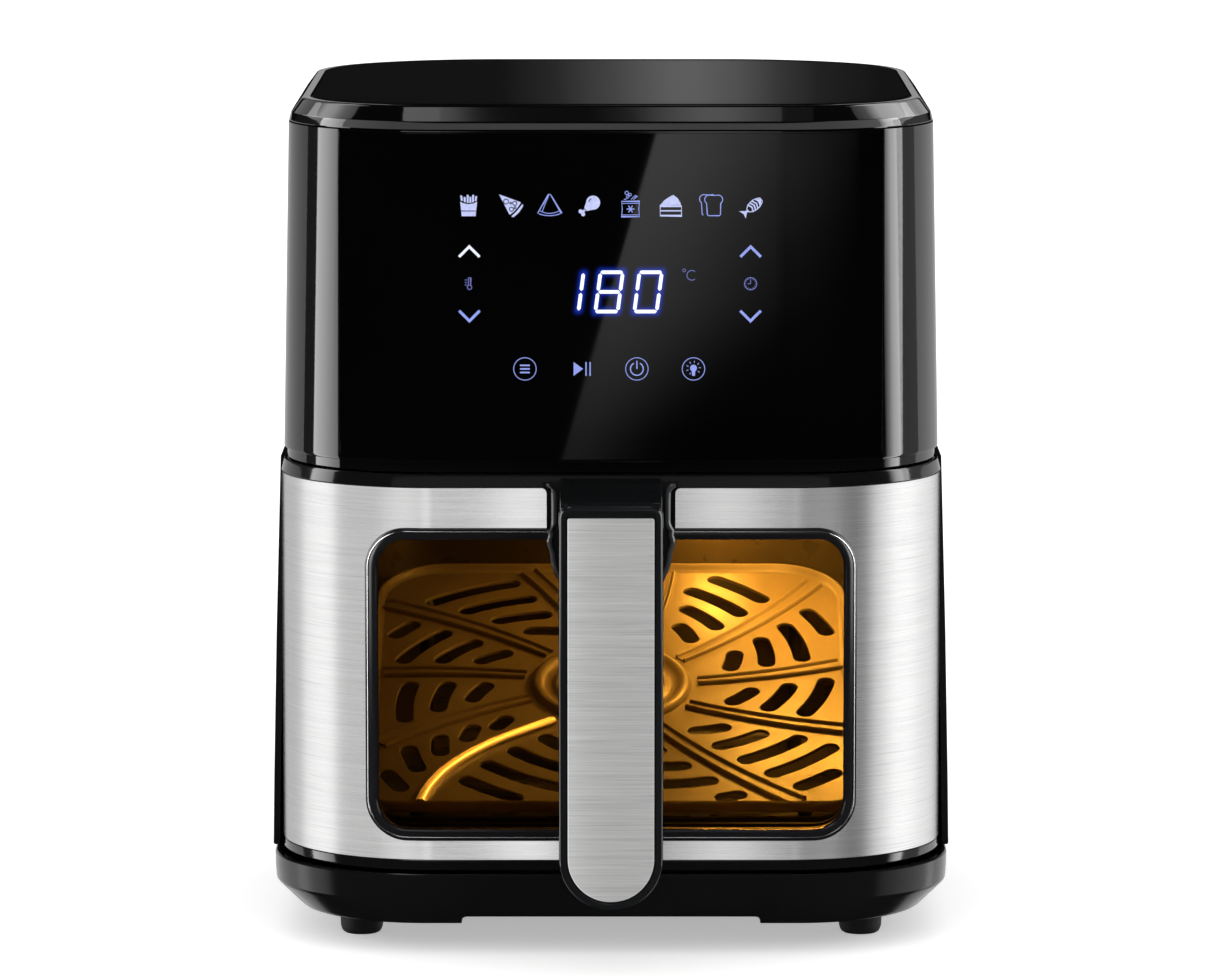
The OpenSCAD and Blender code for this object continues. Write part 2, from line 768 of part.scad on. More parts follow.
// Slots of every sector: between one rib and the next, at growing radii, where the plate has room for them
function slot_loops() = [for (k = [0:plate_sectors - 1]) for (j = [0:plate_slots - 1])
    let (r = 55 + j * 15.5, margin = 640 / r, a0 = rib_angle(k, r) + margin,
         a1 = rib_angle(k + 1, r) - margin, loop = slot(r, a0, a1, 3.6))
        if (fits(loop, 3)) loop];

module crisper_plate() {
    outline = rounded(plate_half_w, plate_y0, plate_y0 + plate_l, 12, 30);
    hub = arc(0, plate_centre, hub_r, 0, 350, 35);
    loops = concat([outline, hub], slot_loops());
    starts = [for (i = 0, s = 0; i < len(loops); s = s + len(loops[i]), i = i + 1) s];
    color("#3a342d") translate([0, plate_y0, plate_z0]) rotate([plate_slope, 0, 0]) translate([0, -plate_y0, 0])
        linear_extrude(plate_t) polygon(
            points = [for (l = loops) each l],
            paths = [for (i = [0:len(loops) - 1]) [for (k = [0:len(loops[i]) - 1]) starts[i] + k]]);
}

module plate_legs() {
    leg_r = 3;
    color("#26231f") for (x = [-78, 78]) for (y = [plate_y0 + 14, plate_y0 + 172])
        rod([x, y, pan_z0 + pan_t + 0.1], leg_r,
            plate_z0 + (y - leg_r - plate_y0) * tan(plate_slope) - pan_z0 - pan_t - 0.3);
}

// ---------- assembly ----------

base_tray();
feet();
base_screws();
lower_housing();
upper_housing();
front_bulkhead();
control_panel();
top_cap();
top_plate();
cavity_liner();
guide_rails();
heat_shield();
separator_plate();
heating_element();
element_clips();
element_guard();
motor();
motor_bracket();
motor_screws();
board_carrier();
display_board();
display_module();
touch_pads();
power_board();
board_standoffs();
power_components();
temperature_probe();
thermal_cutout();
lamp_holder();
lamp_bulb();
lamp_cover();
door_switch();
switch_bracket();
exhaust_duct();
rear_vent_cover();
rear_screws();
cord_gland();
terminal_block();
motor_shaft();
hot_fan();
cooling_fan();
switch_plunger();
drawer_shell();
steel_cladding();
window_frame();
window_glass();
window_gasket();
window_retainer();
inner_panel();
handle_shield();
handle_neck();
handle_back();
handle_front();
handle_insert();
drawer_screws();
pan();
pan_glass();
pan_glass_seal();
crisper_plate();
plate_legs();
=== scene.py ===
"""Air fryer: finished pieces, materials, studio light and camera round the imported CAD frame."""
import json
import math

import bmesh
import bpy
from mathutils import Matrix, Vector

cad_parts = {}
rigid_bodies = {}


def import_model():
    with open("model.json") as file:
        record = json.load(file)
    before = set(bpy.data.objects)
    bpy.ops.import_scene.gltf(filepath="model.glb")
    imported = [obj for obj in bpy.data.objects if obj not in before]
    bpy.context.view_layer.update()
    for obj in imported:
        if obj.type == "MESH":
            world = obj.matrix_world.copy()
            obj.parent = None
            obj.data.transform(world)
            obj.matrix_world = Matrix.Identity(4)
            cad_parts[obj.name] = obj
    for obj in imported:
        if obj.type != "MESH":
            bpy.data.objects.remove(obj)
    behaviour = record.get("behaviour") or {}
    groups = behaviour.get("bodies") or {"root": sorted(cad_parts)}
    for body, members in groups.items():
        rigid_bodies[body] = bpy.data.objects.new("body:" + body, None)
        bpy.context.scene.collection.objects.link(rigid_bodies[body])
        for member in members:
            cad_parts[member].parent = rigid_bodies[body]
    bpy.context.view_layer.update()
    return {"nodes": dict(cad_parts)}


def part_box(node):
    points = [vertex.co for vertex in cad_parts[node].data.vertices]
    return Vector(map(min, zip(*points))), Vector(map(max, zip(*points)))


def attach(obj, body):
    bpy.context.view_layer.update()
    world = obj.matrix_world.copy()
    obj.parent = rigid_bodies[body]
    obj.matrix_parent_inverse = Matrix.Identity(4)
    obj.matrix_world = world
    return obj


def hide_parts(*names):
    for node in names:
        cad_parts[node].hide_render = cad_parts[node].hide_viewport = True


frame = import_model()

# ---------- sizes in millimetres, from the frame ----------

MM = 0.001
CORNER_STEPS = 28


def span(node):
    """Lowest and highest corner of a CAD node, in millimetres."""
    low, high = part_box(node)
    return low / MM, high / MM


def rise(node):
    """Lowest and highest z of a CAD node, in millimetres."""
    low, high = span(node)
    return low.z, high.z


FRONT = span("drawer_shell")[0].y
SPLIT = span("drawer_shell")[1].y
BACK = span("lower_housing")[1].y
HEIGHT = span("top_plate")[1].z
FRONT_R = 62
BACK_R = 80
BASE_Z0, BASE_Z1 = rise("base_tray")
BASE_HW = span("lower_housing")[1].x
LOWER_Z0, LOWER_Z1 = rise("lower_housing")
SEAM_Z = span("upper_housing")[0].z
SEAM_HW = span("upper_housing")[1].x
CAP_Z = span("top_cap")[0].z
TOP_HW = span("top_cap")[1].x + 0.2
DRAWER_HW = span("drawer_shell")[1].x
DRAWER_Z0, DRAWER_Z1 = rise("drawer_shell")
STEEL_Z0, STEEL_Z1 = rise("steel_cladding")
STEEL_T = 0.8
WINDOW_HW = span("window_frame")[1].x
WINDOW_Z0, WINDOW_Z1 = rise("window_frame")
WINDOW_R = 16
NECK_HW = 25.2
PANEL_HW = span("control_panel")[1].x
PANEL_Z0, PANEL_Z1 = rise("control_panel")
HANDLE_HW = span("handle_front")[1].x
HANDLE_Y = span("handle_front")[0].y
HANDLE_SPLIT = span("handle_front")[1].y
HANDLE_BACK = span("handle_back")[1].y
HANDLE_Z0, HANDLE_Z1 = rise("handle_front")
DIGIT_X = {"1": -21.4, "8": -6.1, "0": 9.1}
DIGIT_Z = 255.4
DIGIT_W = 8.7
DIGIT_H = 15.4
DIGIT_SLANT = math.tan(math.radians(7.5))
SPILL = 1.25
ROW_Z = 296.9
KEY_Z = 232.9


# ---------- outlines ----------

def polar(r, degrees):
    """A point at a radius and an angle."""
    turn = math.radians(degrees)
    return r * math.cos(turn), r * math.sin(turn)


def heading(start, end):
    """The direction from one point to another, with length one."""
    return Vector((end[0] - start[0], end[1] - start[1])).normalized()


def arc(cx, cy, r, start, end, steps=CORNER_STEPS):
    """Points along an arc, with angles in degrees."""
    turns = [start + (end - start) * i / steps for i in range(steps + 1)]
    return [(cx + a, cy + b) for a, b in (polar(r, turn) for turn in turns)]


def rounded(hw, low, high, r0, r1, steps=CORNER_STEPS):
    """A rectangle with one radius for its lower corners and another for its upper ones."""
    return (arc(hw - r0, low + r0, r0, -90, 0, steps) + arc(hw - r1, high - r1, r1, 0, 90, steps)
            + arc(r1 - hw, high - r1, r1, 90, 180, steps) + arc(r0 - hw, low + r0, r0, 180, 270, steps))


def plan(hw, inset=0.0):
    """The body seen from above, pulled in by inset on every side."""
    return rounded(hw - inset, FRONT + inset, BACK - inset, FRONT_R - inset, BACK_R - inset)


def drawer_plan(inset, y_end=None):
    """The drawer front seen from above, from the end of its left wing to the end of its right one."""
    w, r, y = DRAWER_HW - inset, FRONT_R - inset, FRONT + FRONT_R
    y_end = SPLIT if y_end is None else y_end
    return [(-w, y_end)] + arc(r - w, y, r, 180, 270) + arc(w - r, y, r, 270, 360) + [(w, y_end)]


def tongue(inset=0.0, z1=HANDLE_Z1, top_r=5.0):
    """The handle seen from the front: rounded upper corners and a half-round lower end."""
    w, r = HANDLE_HW - inset, max(top_r - inset, 0.4)
    return (arc(0, HANDLE_Z0 + HANDLE_HW, w, 180, 360, 48) + arc(w - r, z1 - inset - r, r, 0, 90, 8)
            + arc(r - w, z1 - inset - r, r, 90, 180, 8))


def quarter(radius, steps=5):
    """Steps round a rounded edge: pairs of depth below the face and inset of the outline."""
    turn = [math.radians(90 * i / steps) for i in range(steps + 1)]
    return [(radius * (1 - math.sin(a)), radius * (1 - math.cos(a))) for a in turn]


# ---------- meshes ----------

def lattice(rows, wrap_rows=False, wrap_cols=True):
    """Vertices and faces of a grid of points. Closed columns with open rows get a cap at each end."""
    count, width = len(rows), len(rows[0])
    faces = []
    for i in range(count if wrap_rows else count - 1):
        for j in range(width if wrap_cols else width - 1):
            a, b, k = i * width, (i + 1) % count * width, (j + 1) % width
            faces.append((a + j, a + k, b + k, b + j))
    if wrap_cols and not wrap_rows:
        faces.append(tuple(range(width)))
        faces.append(tuple(range((count - 1) * width, count * width)))
    return [p for row in rows for p in row], faces


def swept(paths):
    """A solid whose section has its corners on paths that run side by side."""
    return lattice([list(stop) for stop in zip(*paths)])


def loft(levels):
    """A solid through outlines of the body; each level is (height, half width, inset)."""
    return lattice([[(x, y, z) for x, y in plan(hw, inset)] for z, hw, inset in levels])


def band(profile):
    """A closed ring round the body, from a closed profile of (height, half width, inset)."""
    return lattice([[(x, y, z) for x, y in plan(hw, inset)] for z, hw, inset in profile], wrap_rows=True)


def drawer_band(profile, y_end=None):
    """A wall round the drawer front, from a closed profile of (inset, height)."""
    return swept([[(x, y, z) for x, y in drawer_plan(inset, y_end)] for inset, z in profile])


def prism(outline, low, high, axis="y"):
    """An outline pushed along an axis."""
    order = {"x": (2, 0, 1), "y": (0, 2, 1), "z": (0, 1, 2)}[axis]
    return lattice([[tuple((a, b, h)[k] for k in order) for a, b in outline] for h in (low, high)])


def pushed(outline_at, levels):
    """An outline in XZ through levels of (y, inset); outline_at(inset) gives the outline."""
    return lattice([[(x, y, z) for x, z in outline_at(inset)] for y, inset in levels])


def soft_ends(y0, y1, r0, r1):
    """Levels from y0 to y1 with both ends rounded."""
    return ([(y0 + d, i) for d, i in reversed(quarter(r0))] + [(y1 - d, i) for d, i in quarter(r1)])


def revolve(profile, centre, axis="z", steps=48, closed=False):
    """A turned solid, from (radius, height) pairs round an axis through centre."""
    x, y, z = centre
    rows = []
    for i in range(steps):
        c, s = polar(1, 360 * i / steps)
        if axis == "z":
            rows.append([(x + r * c, y + r * s, z + h) for r, h in profile])
        else:
            rows.append([(x + r * c, y + h, z + r * s) for r, h in profile])
    return lattice(rows, wrap_rows=True, wrap_cols=closed)


def box(low, high):
    """A block, for pieces whose edges are rounded afterwards."""
    outline = [(low[0], low[1]), (high[0], low[1]), (high[0], high[1]), (low[0], high[1])]
    return prism(outline, low[2], high[2], "z")


def new_object(name, shapes):
    """One object from several closed shapes, each welded and turned outwards on its own."""
    made = bmesh.new()
    for points, faces in shapes:
        part = bmesh.new()
        corners = [part.verts.new(Vector(p) * MM) for p in points]
        for face in faces:
            part.faces.new([corners[i] for i in face])
        bmesh.ops.remove_doubles(part, verts=part.verts, dist=2e-6)
        bmesh.ops.dissolve_degenerate(part, edges=part.edges, dist=1e-6)
        bmesh.ops.recalc_face_normals(part, faces=part.faces)
        whole = bpy.data.meshes.new("part")
        part.to_mesh(whole)
        part.free()
        made.from_mesh(whole)
        bpy.data.meshes.remove(whole)
    mesh = bpy.data.meshes.new(name)
    made.to_mesh(mesh)
    made.free()
    obj = bpy.data.objects.new(name, mesh)
    bpy.context.scene.collection.objects.link(obj)
    return obj


def baked(obj):
    """The object's mesh with its modifiers applied."""
    bpy.context.view_layer.update()
    shown = obj.evaluated_get(bpy.context.evaluated_depsgraph_get())
    mesh = bpy.data.meshes.new_from_object(shown)
    obj.modifiers.clear()
    obj.data = mesh


def carve(obj, shapes):
    """Cuts each shape out of the object."""
    for shape in shapes:
        cutter = new_object("cutter", [shape])
        cut = obj.modifiers.new("cut", "BOOLEAN")
        cut.object = cutter
        cut.solver = "EXACT"
        baked(obj)
        bpy.data.objects.remove(cutter)


def smooth(obj, edge=0.0, steps=2, angle=32, clamp=True):
    """Rounds the sharp edges by edge millimetres and shades the rest smooth."""
    obj.data.shade_smooth()
    obj.data.set_sharp_from_angle(angle=math.radians(angle))
    if edge:
        bevel = obj.modifiers.new("rounded_edges", "BEVEL")
        bevel.width = edge * MM
        bevel.segments = steps
        bevel.limit_method = "ANGLE"
        bevel.angle_limit = math.radians(angle)
        bevel.use_clamp_overlap = clamp
    weighted = obj.modifiers.new("even_shading", "WEIGHTED_NORMAL")
    weighted.keep_sharp = True
    weighted.weight = 80


def piece(name, body, material, shapes, nodes=(), slot=None, cuts=(), **edges):
    """A finished piece that rides on a body and stands for its CAD nodes."""
    obj = new_object(name, shapes)
    if cuts:
        carve(obj, cuts)
    smooth(obj, **edges)
    obj.data.materials.clear()
    obj.data.materials.append(material)
    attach(obj, body)
    if nodes:
        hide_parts(*nodes)
    return obj


# ---------- materials ----------

def feed(tree, made, inputs):
    """Sets a node's inputs; each is a value or another node's output."""
    for key, value in inputs.items():
        if isinstance(value, bpy.types.NodeSocket):
            tree.links.new(value, made.inputs[key])
        else:
            made.inputs[key].default_value = value


def node(tree, kind, inputs=(), **settings):
    """A shader node with its settings and inputs."""
    made = tree.nodes.new(kind)
    for key, value in settings.items():
        setattr(made, key, value)
    feed(tree, made, dict(inputs))
    return made


def calc(tree, operation, first, second, **settings):
    """A sum of two numbers or node outputs."""
    return node(tree, "ShaderNodeMath", {0: first, 1: second}, operation=operation, **settings).outputs[0]


def new_material(name):
    """An empty node material and its tree."""
    made = bpy.data.materials.new(name)
    made.use_nodes = True
    made.node_tree.nodes.clear()
    return made, made.node_tree


def show(tree, shader):
    """Makes a shader the one that the surface shows."""
    node(tree, "ShaderNodeOutputMaterial", {"Surface": shader.outputs[0]})


def blank(name):
    """A material with only its output and a Principled shader."""
    made, tree = new_material(name)
    shader = node(tree, "ShaderNodeBsdfPrincipled")
    show(tree, shader)
    return made, tree, shader


def noise(tree, scale, detail=3.0, stretch=None, rough=0.55):
    """Noise in the object's own metres, so its grain keeps its real size."""
    place = node(tree, "ShaderNodeTexCoord").outputs["Object"]
    if stretch:
        place = node(tree, "ShaderNodeMapping", {"Vector": place, "Scale": stretch}).outputs["Vector"]
    inputs = {"Vector": place, "Scale": scale, "Detail": detail, "Roughness": rough}
    return node(tree, "ShaderNodeTexNoise", inputs).outputs["Fac"]


def remap(tree, value, low, high, start=0.25, end=0.75):
    """A value spread from start..end to low..high."""
    inputs = {"Value": value, "From Min": start, "From Max": end, "To Min": low, "To Max": high}
    return node(tree, "ShaderNodeMapRange", inputs).outputs["Result"]


def blend(tree, factor, first, second):
    """A colour between two, by factor."""
    inputs = {"Factor": factor, 6: (*first, 1), 7: (*second, 1)}
    return node(tree, "ShaderNodeMix", inputs, data_type="RGBA").outputs[2]


def relief(tree, height, depth, under=None):
    """A bump of depth metres from a height from 0 to 1."""
    inputs = {"Height": height, "Distance": depth, "Strength": 1.0}
    if under is not None:
        inputs["Normal"] = under
    return node(tree, "ShaderNodeBump", inputs).outputs["Normal"]


def moulded(name, tone, rough, gloss_spread=0.1, grain=1500, grain_depth=0.0, wave_depth=0.0, fade=1.5):
    """Moulded plastic or rubber: tone and polish vary in soft patches, and the skin has a grain."""
    made, tree, shader = blank(name)
    worn = tuple(min(1.0, c * fade + 0.0004) for c in tone)
    low, high = rough * (1 - gloss_spread), rough * (1 + gloss_spread)
    feed(tree, shader, {"Base Color": blend(tree, remap(tree, noise(tree, 14, 4), 0, 1), tone, worn),
                        "Roughness": remap(tree, noise(tree, 45, 5), low, high)})
    normal = None
    if wave_depth:
        normal = relief(tree, noise(tree, 60, 2), wave_depth)
    if grain_depth:
        normal = relief(tree, noise(tree, grain, 2), grain_depth, normal)
    if normal is not None:
        feed(tree, shader, {"Normal": normal})
    return made


def brushed(name, bright, dark, rough, drawn_out):
    """Brushed metal: fine streaks in colour, polish and relief, with a reflection drawn out across them."""
    made, tree, shader = blank(name)
    streaks = (0.35, 0.35, 36)
    fine, broad, dash = [noise(tree, scale * 1.15, detail, streaks, fall)
                         for scale, detail, fall in ((110, 5, 0.7), (34, 4, 0.6), (60, 2, 0.5))]
    tone = calc(tree, "ADD", remap(tree, fine, 0, 0.55), remap(tree, broad, 0, 0.45))
    cut = calc(tree, "SUBTRACT", tone, remap(tree, dash, 0, 0.5, 0.62, 0.72), use_clamp=True)
    around = node(tree, "ShaderNodeTangent", direction_type="RADIAL", axis="Z")
    feed(tree, shader, {"Base Color": blend(tree, cut, dark, bright),
                        "Roughness": remap(tree, fine, rough * 0.85, rough * 1.2),
                        "Normal": relief(tree, fine, 0.000012), "Tangent": around.outputs["Tangent"],
                        "Metallic": 1.0, "Anisotropic": drawn_out, "Anisotropic Rotation": 0.25})
    return made


def metal(name, bright, dark, rough, spread=0.25, scale=120, depth=0.00001):
    """Plain sheet, turned or cast metal with a mottled surface and uneven polish."""
    made, tree, shader = blank(name)
    mottle, polish = noise(tree, scale, 5), noise(tree, scale * 0.4, 4)
    feed(tree, shader, {"Base Color": blend(tree, remap(tree, mottle, 0, 1), dark, bright),
                        "Roughness": remap(tree, polish, rough * (1 - spread), rough * (1 + spread)),
                        "Normal": relief(tree, noise(tree, scale * 8, 2), depth), "Metallic": 1.0})
    return made


def tinted_glass(name, tint, shade, rough):
    """A thin pane: light passes through it with a tint, and it mirrors more and more towards grazing."""
    made, tree = new_material(name)
    smear = noise(tree, 20, 4)
    colour = blend(tree, remap(tree, smear, 0, 1), tint, shade)
    clear = node(tree, "ShaderNodeBsdfTransparent", {"Color": colour})
    mirror = node(tree, "ShaderNodeBsdfGlossy", {"Roughness": remap(tree, smear, rough, rough * 2)})
    edge = node(tree, "ShaderNodeFresnel", {"IOR": 1.45})
    show(tree, node(tree, "ShaderNodeMixShader",
                    {"Fac": edge.outputs["Fac"], 1: clear.outputs["BSDF"], 2: mirror.outputs["BSDF"]}))
    return made


def lit(name, colour, strength):
    """A lit mark behind the panel's face; its light is a little uneven."""
    made, tree, shader = blank(name)
    uneven = noise(tree, 700, 2)
    pale = tuple(min(1.0, c * 1.08) for c in colour)
    feed(tree, shader, {"Base Color": (0.01, 0.01, 0.02, 1), "Roughness": 0.2,
                        "Emission Color": blend(tree, remap(tree, uneven, 0, 1), colour, pale),
                        "Emission Strength": remap(tree, uneven, strength * 0.9, strength * 1.1)})
    return made


def touch_glass(name, bars):
    """The panel's black lens, with light spilling into it from bars of (x, z, half width, half height)."""
    made, tree, shader = blank(name)
    patch = noise(tree, 9, 4)
    axes = node(tree, "ShaderNodeSeparateXYZ", {"Vector": node(tree, "ShaderNodeTexCoord").outputs["Object"]})
    nearest = None
    raised = calc(tree, "MULTIPLY", calc(tree, "SUBTRACT", axes.outputs["Z"], DIGIT_Z * MM), DIGIT_SLANT)
    upright = calc(tree, "SUBTRACT", axes.outputs["X"], raised)
    for x, z, half_width, half_height in bars:
        far = None
        for place, middle, half in ((upright, x, half_width), (axes.outputs["Z"], z, half_height)):
            off = calc(tree, "ABSOLUTE", calc(tree, "SUBTRACT", place, middle * MM), 0.0)
            out = calc(tree, "POWER", calc(tree, "MAXIMUM", calc(tree, "SUBTRACT", off, half * MM), 0.0), 2.0)
            far = out if far is None else calc(tree, "ADD", far, out)
        nearest = far if nearest is None else calc(tree, "MINIMUM", nearest, far)
    spill = calc(tree, "POWER", math.e, calc(tree, "MULTIPLY", nearest, -1 / (SPILL * MM) ** 2))
    black, worn = (0.0004, 0.0004, 0.0005), (0.0009, 0.0009, 0.001)
    feed(tree, shader, {"Base Color": blend(tree, remap(tree, patch, 0, 1), black, worn),
                        "Roughness": remap(tree, patch, 0.018, 0.03),
                        "Emission Strength": remap(tree, spill, 0.0, 0.4, 0.0, 1.0),
                        "Emission Color": (0.02, 0.07, 0.9, 1)})
    return made


GLOSS_BLACK = moulded("gloss_black", (0.0012, 0.0012, 0.0014), 0.05, 0.25, wave_depth=0.000003)
TRIM_BLACK = moulded("trim_black", (0.003, 0.003, 0.0033), 0.1, 0.2, wave_depth=0.000004)
BEZEL_BLACK = moulded("bezel_black", (0.0052, 0.0052, 0.006), 0.13, 0.2, wave_depth=0.000004)
# Ridge plastic: the black made several times lighter, a painted highlight on the round ridges
RIDGE_PAINTED_HIGHLIGHT = moulded("ridge_painted_highlight", (0.03, 0.031, 0.033), 0.2, 0.2, wave_depth=0.000004)
SATIN_BLACK = moulded("satin_black", (0.004, 0.004, 0.0043), 0.3, 0.12, 2200, 0.00001)
BASE_BLACK = moulded("base_black", (0.0036, 0.0036, 0.0038), 0.17, 0.15, 2200, 0.000002)
HANDLE_BLACK = moulded("handle_black", (0.0052, 0.0056, 0.006), 0.09, 0.15, 2200, 0.000002)
TEXTURED_BLACK = moulded("textured_black", (0.006, 0.006, 0.0065), 0.45, 0.12, 1100, 0.00004)
RUBBER = moulded("rubber", (0.007, 0.007, 0.007), 0.7, 0.1, 900, 0.00003)
SILICONE = moulded("silicone", (0.012, 0.012, 0.013), 0.5, 0.1, 1600, 0.00001)
STEEL = brushed("brushed_steel", (0.76, 0.76, 0.755), (0.52, 0.52, 0.52), 0.28, 0.9)
INLAY_STEEL = brushed("inlay_steel", (0.76, 0.76, 0.75), (0.42, 0.42, 0.42), 0.33, 0.85)
# Window pane: its amber tint is partly the glass's own tint and partly the warm lamplight inside, painted
# into the glass
WINDOW_GLASS = tinted_glass("window_glass", (0.80, 0.58, 0.22), (0.86, 0.64, 0.27), 0.02)
INNER_GLASS = tinted_glass("inner_glass", (0.93, 0.92, 0.88), (0.97, 0.96, 0.93), 0.02)
PAN_COAT = moulded("pan_coat", (0.035, 0.03, 0.024), 0.3, 0.2, 500, 0.00001, 0.00001, 1.3)
PLATE_COAT = moulded("plate_coat", (0.14, 0.12, 0.095), 0.4, 0.2, 600, 0.00002, 0.00002, 1.4)
EDGE_CHROME = metal("edge_chrome", (0.9, 0.9, 0.9), (0.8, 0.8, 0.8), 0.14, 0.2, 200, 0.000002)
LINER_STEEL = metal("liner_steel", (0.6, 0.6, 0.58), (0.42, 0.42, 0.41), 0.32)
SHEET_STEEL = metal("sheet_steel", (0.62, 0.62, 0.62), (0.45, 0.46, 0.47), 0.4, 0.3, 60, 0.00002)
ELEMENT_TUBE = metal("element_tube", (0.34, 0.29, 0.25), (0.16, 0.13, 0.12), 0.42, 0.3, 160)
CHROME_WIRE = metal("chrome_wire", (0.8, 0.8, 0.8), (0.66, 0.66, 0.66), 0.14)
ZINC_SCREW = metal("zinc_screw", (0.6, 0.6, 0.61), (0.42, 0.42, 0.44), 0.34)
MOTOR_STEEL = metal("motor_steel", (0.4, 0.41, 0.43), (0.24, 0.25, 0.27), 0.45)
SHAFT_STEEL = metal("shaft_steel", (0.7, 0.7, 0.71), (0.58, 0.58, 0.6), 0.2)
ALUMINIUM = metal("aluminium", (0.74, 0.75, 0.76), (0.56, 0.57, 0.58), 0.36)
BRASS = metal("plated_brass", (0.78, 0.6, 0.32), (0.58, 0.43, 0.2), 0.3)
FAN_PLASTIC = moulded("fan_plastic", (0.03, 0.03, 0.033), 0.45, 0.1, 900, 0.00001)
BOARD_GREEN = moulded("board_green", (0.015, 0.09, 0.03), 0.35, 0.2, 500, 0.00001)
BOARD_TAN = moulded("board_tan", (0.2, 0.13, 0.045), 0.5, 0.1, 500, 0.00001)
COMPONENTS = moulded("components", (0.03, 0.05, 0.09), 0.4, 0.2, 500, 0.00001, fade=2.2)
DISPLAY_GREY = moulded("display_grey", (0.03, 0.03, 0.033), 0.4, 0.1, 700, 0.00001)
NYLON = moulded("nylon", (0.66, 0.66, 0.61), 0.45, 0.1, 700, 0.00001, fade=1.1)
CERAMIC = moulded("ceramic", (0.74, 0.71, 0.64), 0.25, 0.2, 300, 0.00001, fade=1.1)
SWITCH_DARK = moulded("switch_dark", (0.02, 0.02, 0.023), 0.4, 0.1, 700, 0.00001)
PLUNGER_RED = moulded("plunger_red", (0.42, 0.03, 0.02), 0.4, 0.1, 700, 0.00001)
BULB_GLASS = lit("bulb_glass", (1.0, 0.62, 0.22), 1.5)
LAMP_GLASS = tinted_glass("lamp_glass", (0.8, 0.76, 0.66), (0.88, 0.84, 0.75), 0.12)
ICON_BLUE = lit("icon_blue", (0.30, 0.37, 0.88), 0.95)
ICON_PALE = lit("icon_pale", (0.56, 0.61, 0.97), 0.95)
ICON_DIM = lit("icon_dim", (0.24, 0.26, 0.72), 0.62)
ICON_WHITE = lit("icon_white", (0.80, 0.84, 1.0), 1.05)
DIGIT_WHITE = lit("digit_white", (0.86, 0.91, 1.0), 1.25)


# ---------- inner CAD parts, with their own finish ----------

INNER = {
    "base_screws": ZINC_SCREW, "front_bulkhead": SHEET_STEEL, "cavity_liner": LINER_STEEL,
    "guide_rails": LINER_STEEL, "heat_shield": LINER_STEEL, "separator_plate": SHEET_STEEL,
    "heating_element": ELEMENT_TUBE, "element_clips": SHEET_STEEL, "element_guard": CHROME_WIRE,
    "motor": MOTOR_STEEL, "motor_bracket": SHEET_STEEL, "motor_screws": ZINC_SCREW,
    "board_carrier": DISPLAY_GREY, "display_board": BOARD_GREEN, "display_module": DISPLAY_GREY,
    "touch_pads": BRASS, "power_board": BOARD_TAN, "board_standoffs": NYLON,
    "power_components": COMPONENTS, "temperature_probe": CHROME_WIRE, "thermal_cutout": SHEET_STEEL,
    "lamp_holder": CERAMIC, "lamp_bulb": BULB_GLASS, "lamp_cover": LAMP_GLASS, "door_switch": SWITCH_DARK,
    "switch_bracket": SHEET_STEEL, "exhaust_duct": SHEET_STEEL, "rear_screws": ZINC_SCREW,
    "terminal_block": NYLON, "motor_shaft": SHAFT_STEEL, "hot_fan": ALUMINIUM, "cooling_fan": FAN_PLASTIC,
    "switch_plunger": PLUNGER_RED, "window_gasket": SILICONE, "window_retainer": TEXTURED_BLACK,
    "inner_panel": TEXTURED_BLACK, "drawer_screws": ZINC_SCREW, "pan_glass": INNER_GLASS,
    "pan_glass_seal": SILICONE,
}
for name, material in INNER.items():
    part = frame["nodes"][name]
    part.data.materials.clear()
    part.data.materials.append(material)
    smooth(part, edge=0.12)


# ---------- base and feet ----------

PAD_HALF_GAP = 59
BASE_LIFT = BASE_Z0 + 3.5


def base():
    """The foot moulding, hollow from below with a channel from front to back, and its floor."""
    outer = [(BASE_Z1, 1.6), (BASE_Z1 - 0.3, 1.1), (BASE_Z1 - 0.9, 0.95), (27, 1.05), (22.2, 1.35),
             (21.4, 1.5), (20.8, 1.85), (20.3, 2.35), (16, 6.8), (12.3, 10.6), (11.5, 11.5), (10.8, 12.5),
             (BASE_Z0 + 0.1, 13.6), (BASE_Z0, 14.6)]
    inner = [(BASE_Z0, 40), (BASE_Z0 + 6.6, 40), (BASE_Z0 + 7.2, 13), (24, 6), (BASE_Z1 - 0.4, 4.6),
             (BASE_Z1, 4.2)]
    half = [(PAD_HALF_GAP, BASE_Z0 - 2), (PAD_HALF_GAP, BASE_LIFT - 1.6),
            (PAD_HALF_GAP - 0.5, BASE_LIFT - 0.5), (PAD_HALF_GAP - 1.6, BASE_LIFT)]
    channel = prism(half + [(-x, z) for x, z in reversed(half)], FRONT - 5, BACK + 5)
    piece("base_moulding", "housing", BASE_BLACK, [band([(z, BASE_HW, inset) for z, inset in outer + inner])],
          ["base_tray"], "housing_satin", cuts=[channel], edge=0.5, clamp=False)
    vents = [box((i * 12 - 2.5, 10, BASE_Z0), (i * 12 + 2.5, 80, 20)) for i in range(-4, 5)]
    piece("base_floor", "housing", SATIN_BLACK,
          [prism(plan(BASE_HW, 39), BASE_LIFT + 0.1, BASE_Z0 + 7.1, "z")], [], "housing_satin", cuts=vents,
          edge=0.3, clamp=False)


def feet():
    """Four rubber feet on their stems."""
    low, high = span("feet")
    top, r = BASE_Z0 - 0.1, 8.6
    outline = [(0, 0), (5.6, 0), (6.6, 0.15), (7.5, 0.7), (8.1, 1.7), (8.5, 3.2), (r, 5), (r, top - 0.5),
               (8.2, top), (4, top), (4, high.z), (0, high.z)]
    spots = [(x, y) for x in (low.x + r, high.x - r) for y in (low.y + r, high.y - r)]
    piece("rubber_feet", "housing", RUBBER, [revolve(outline, (x, y, 0)) for x, y in spots], ["feet"],
          "rubber_black")


# ---------- housings ----------

LOWER_WALL = 2.6
REAR_SCREW_X = (-49.5, 49.5)
GLAND = (span("cord_gland")[0] + span("cord_gland")[1]) / 2


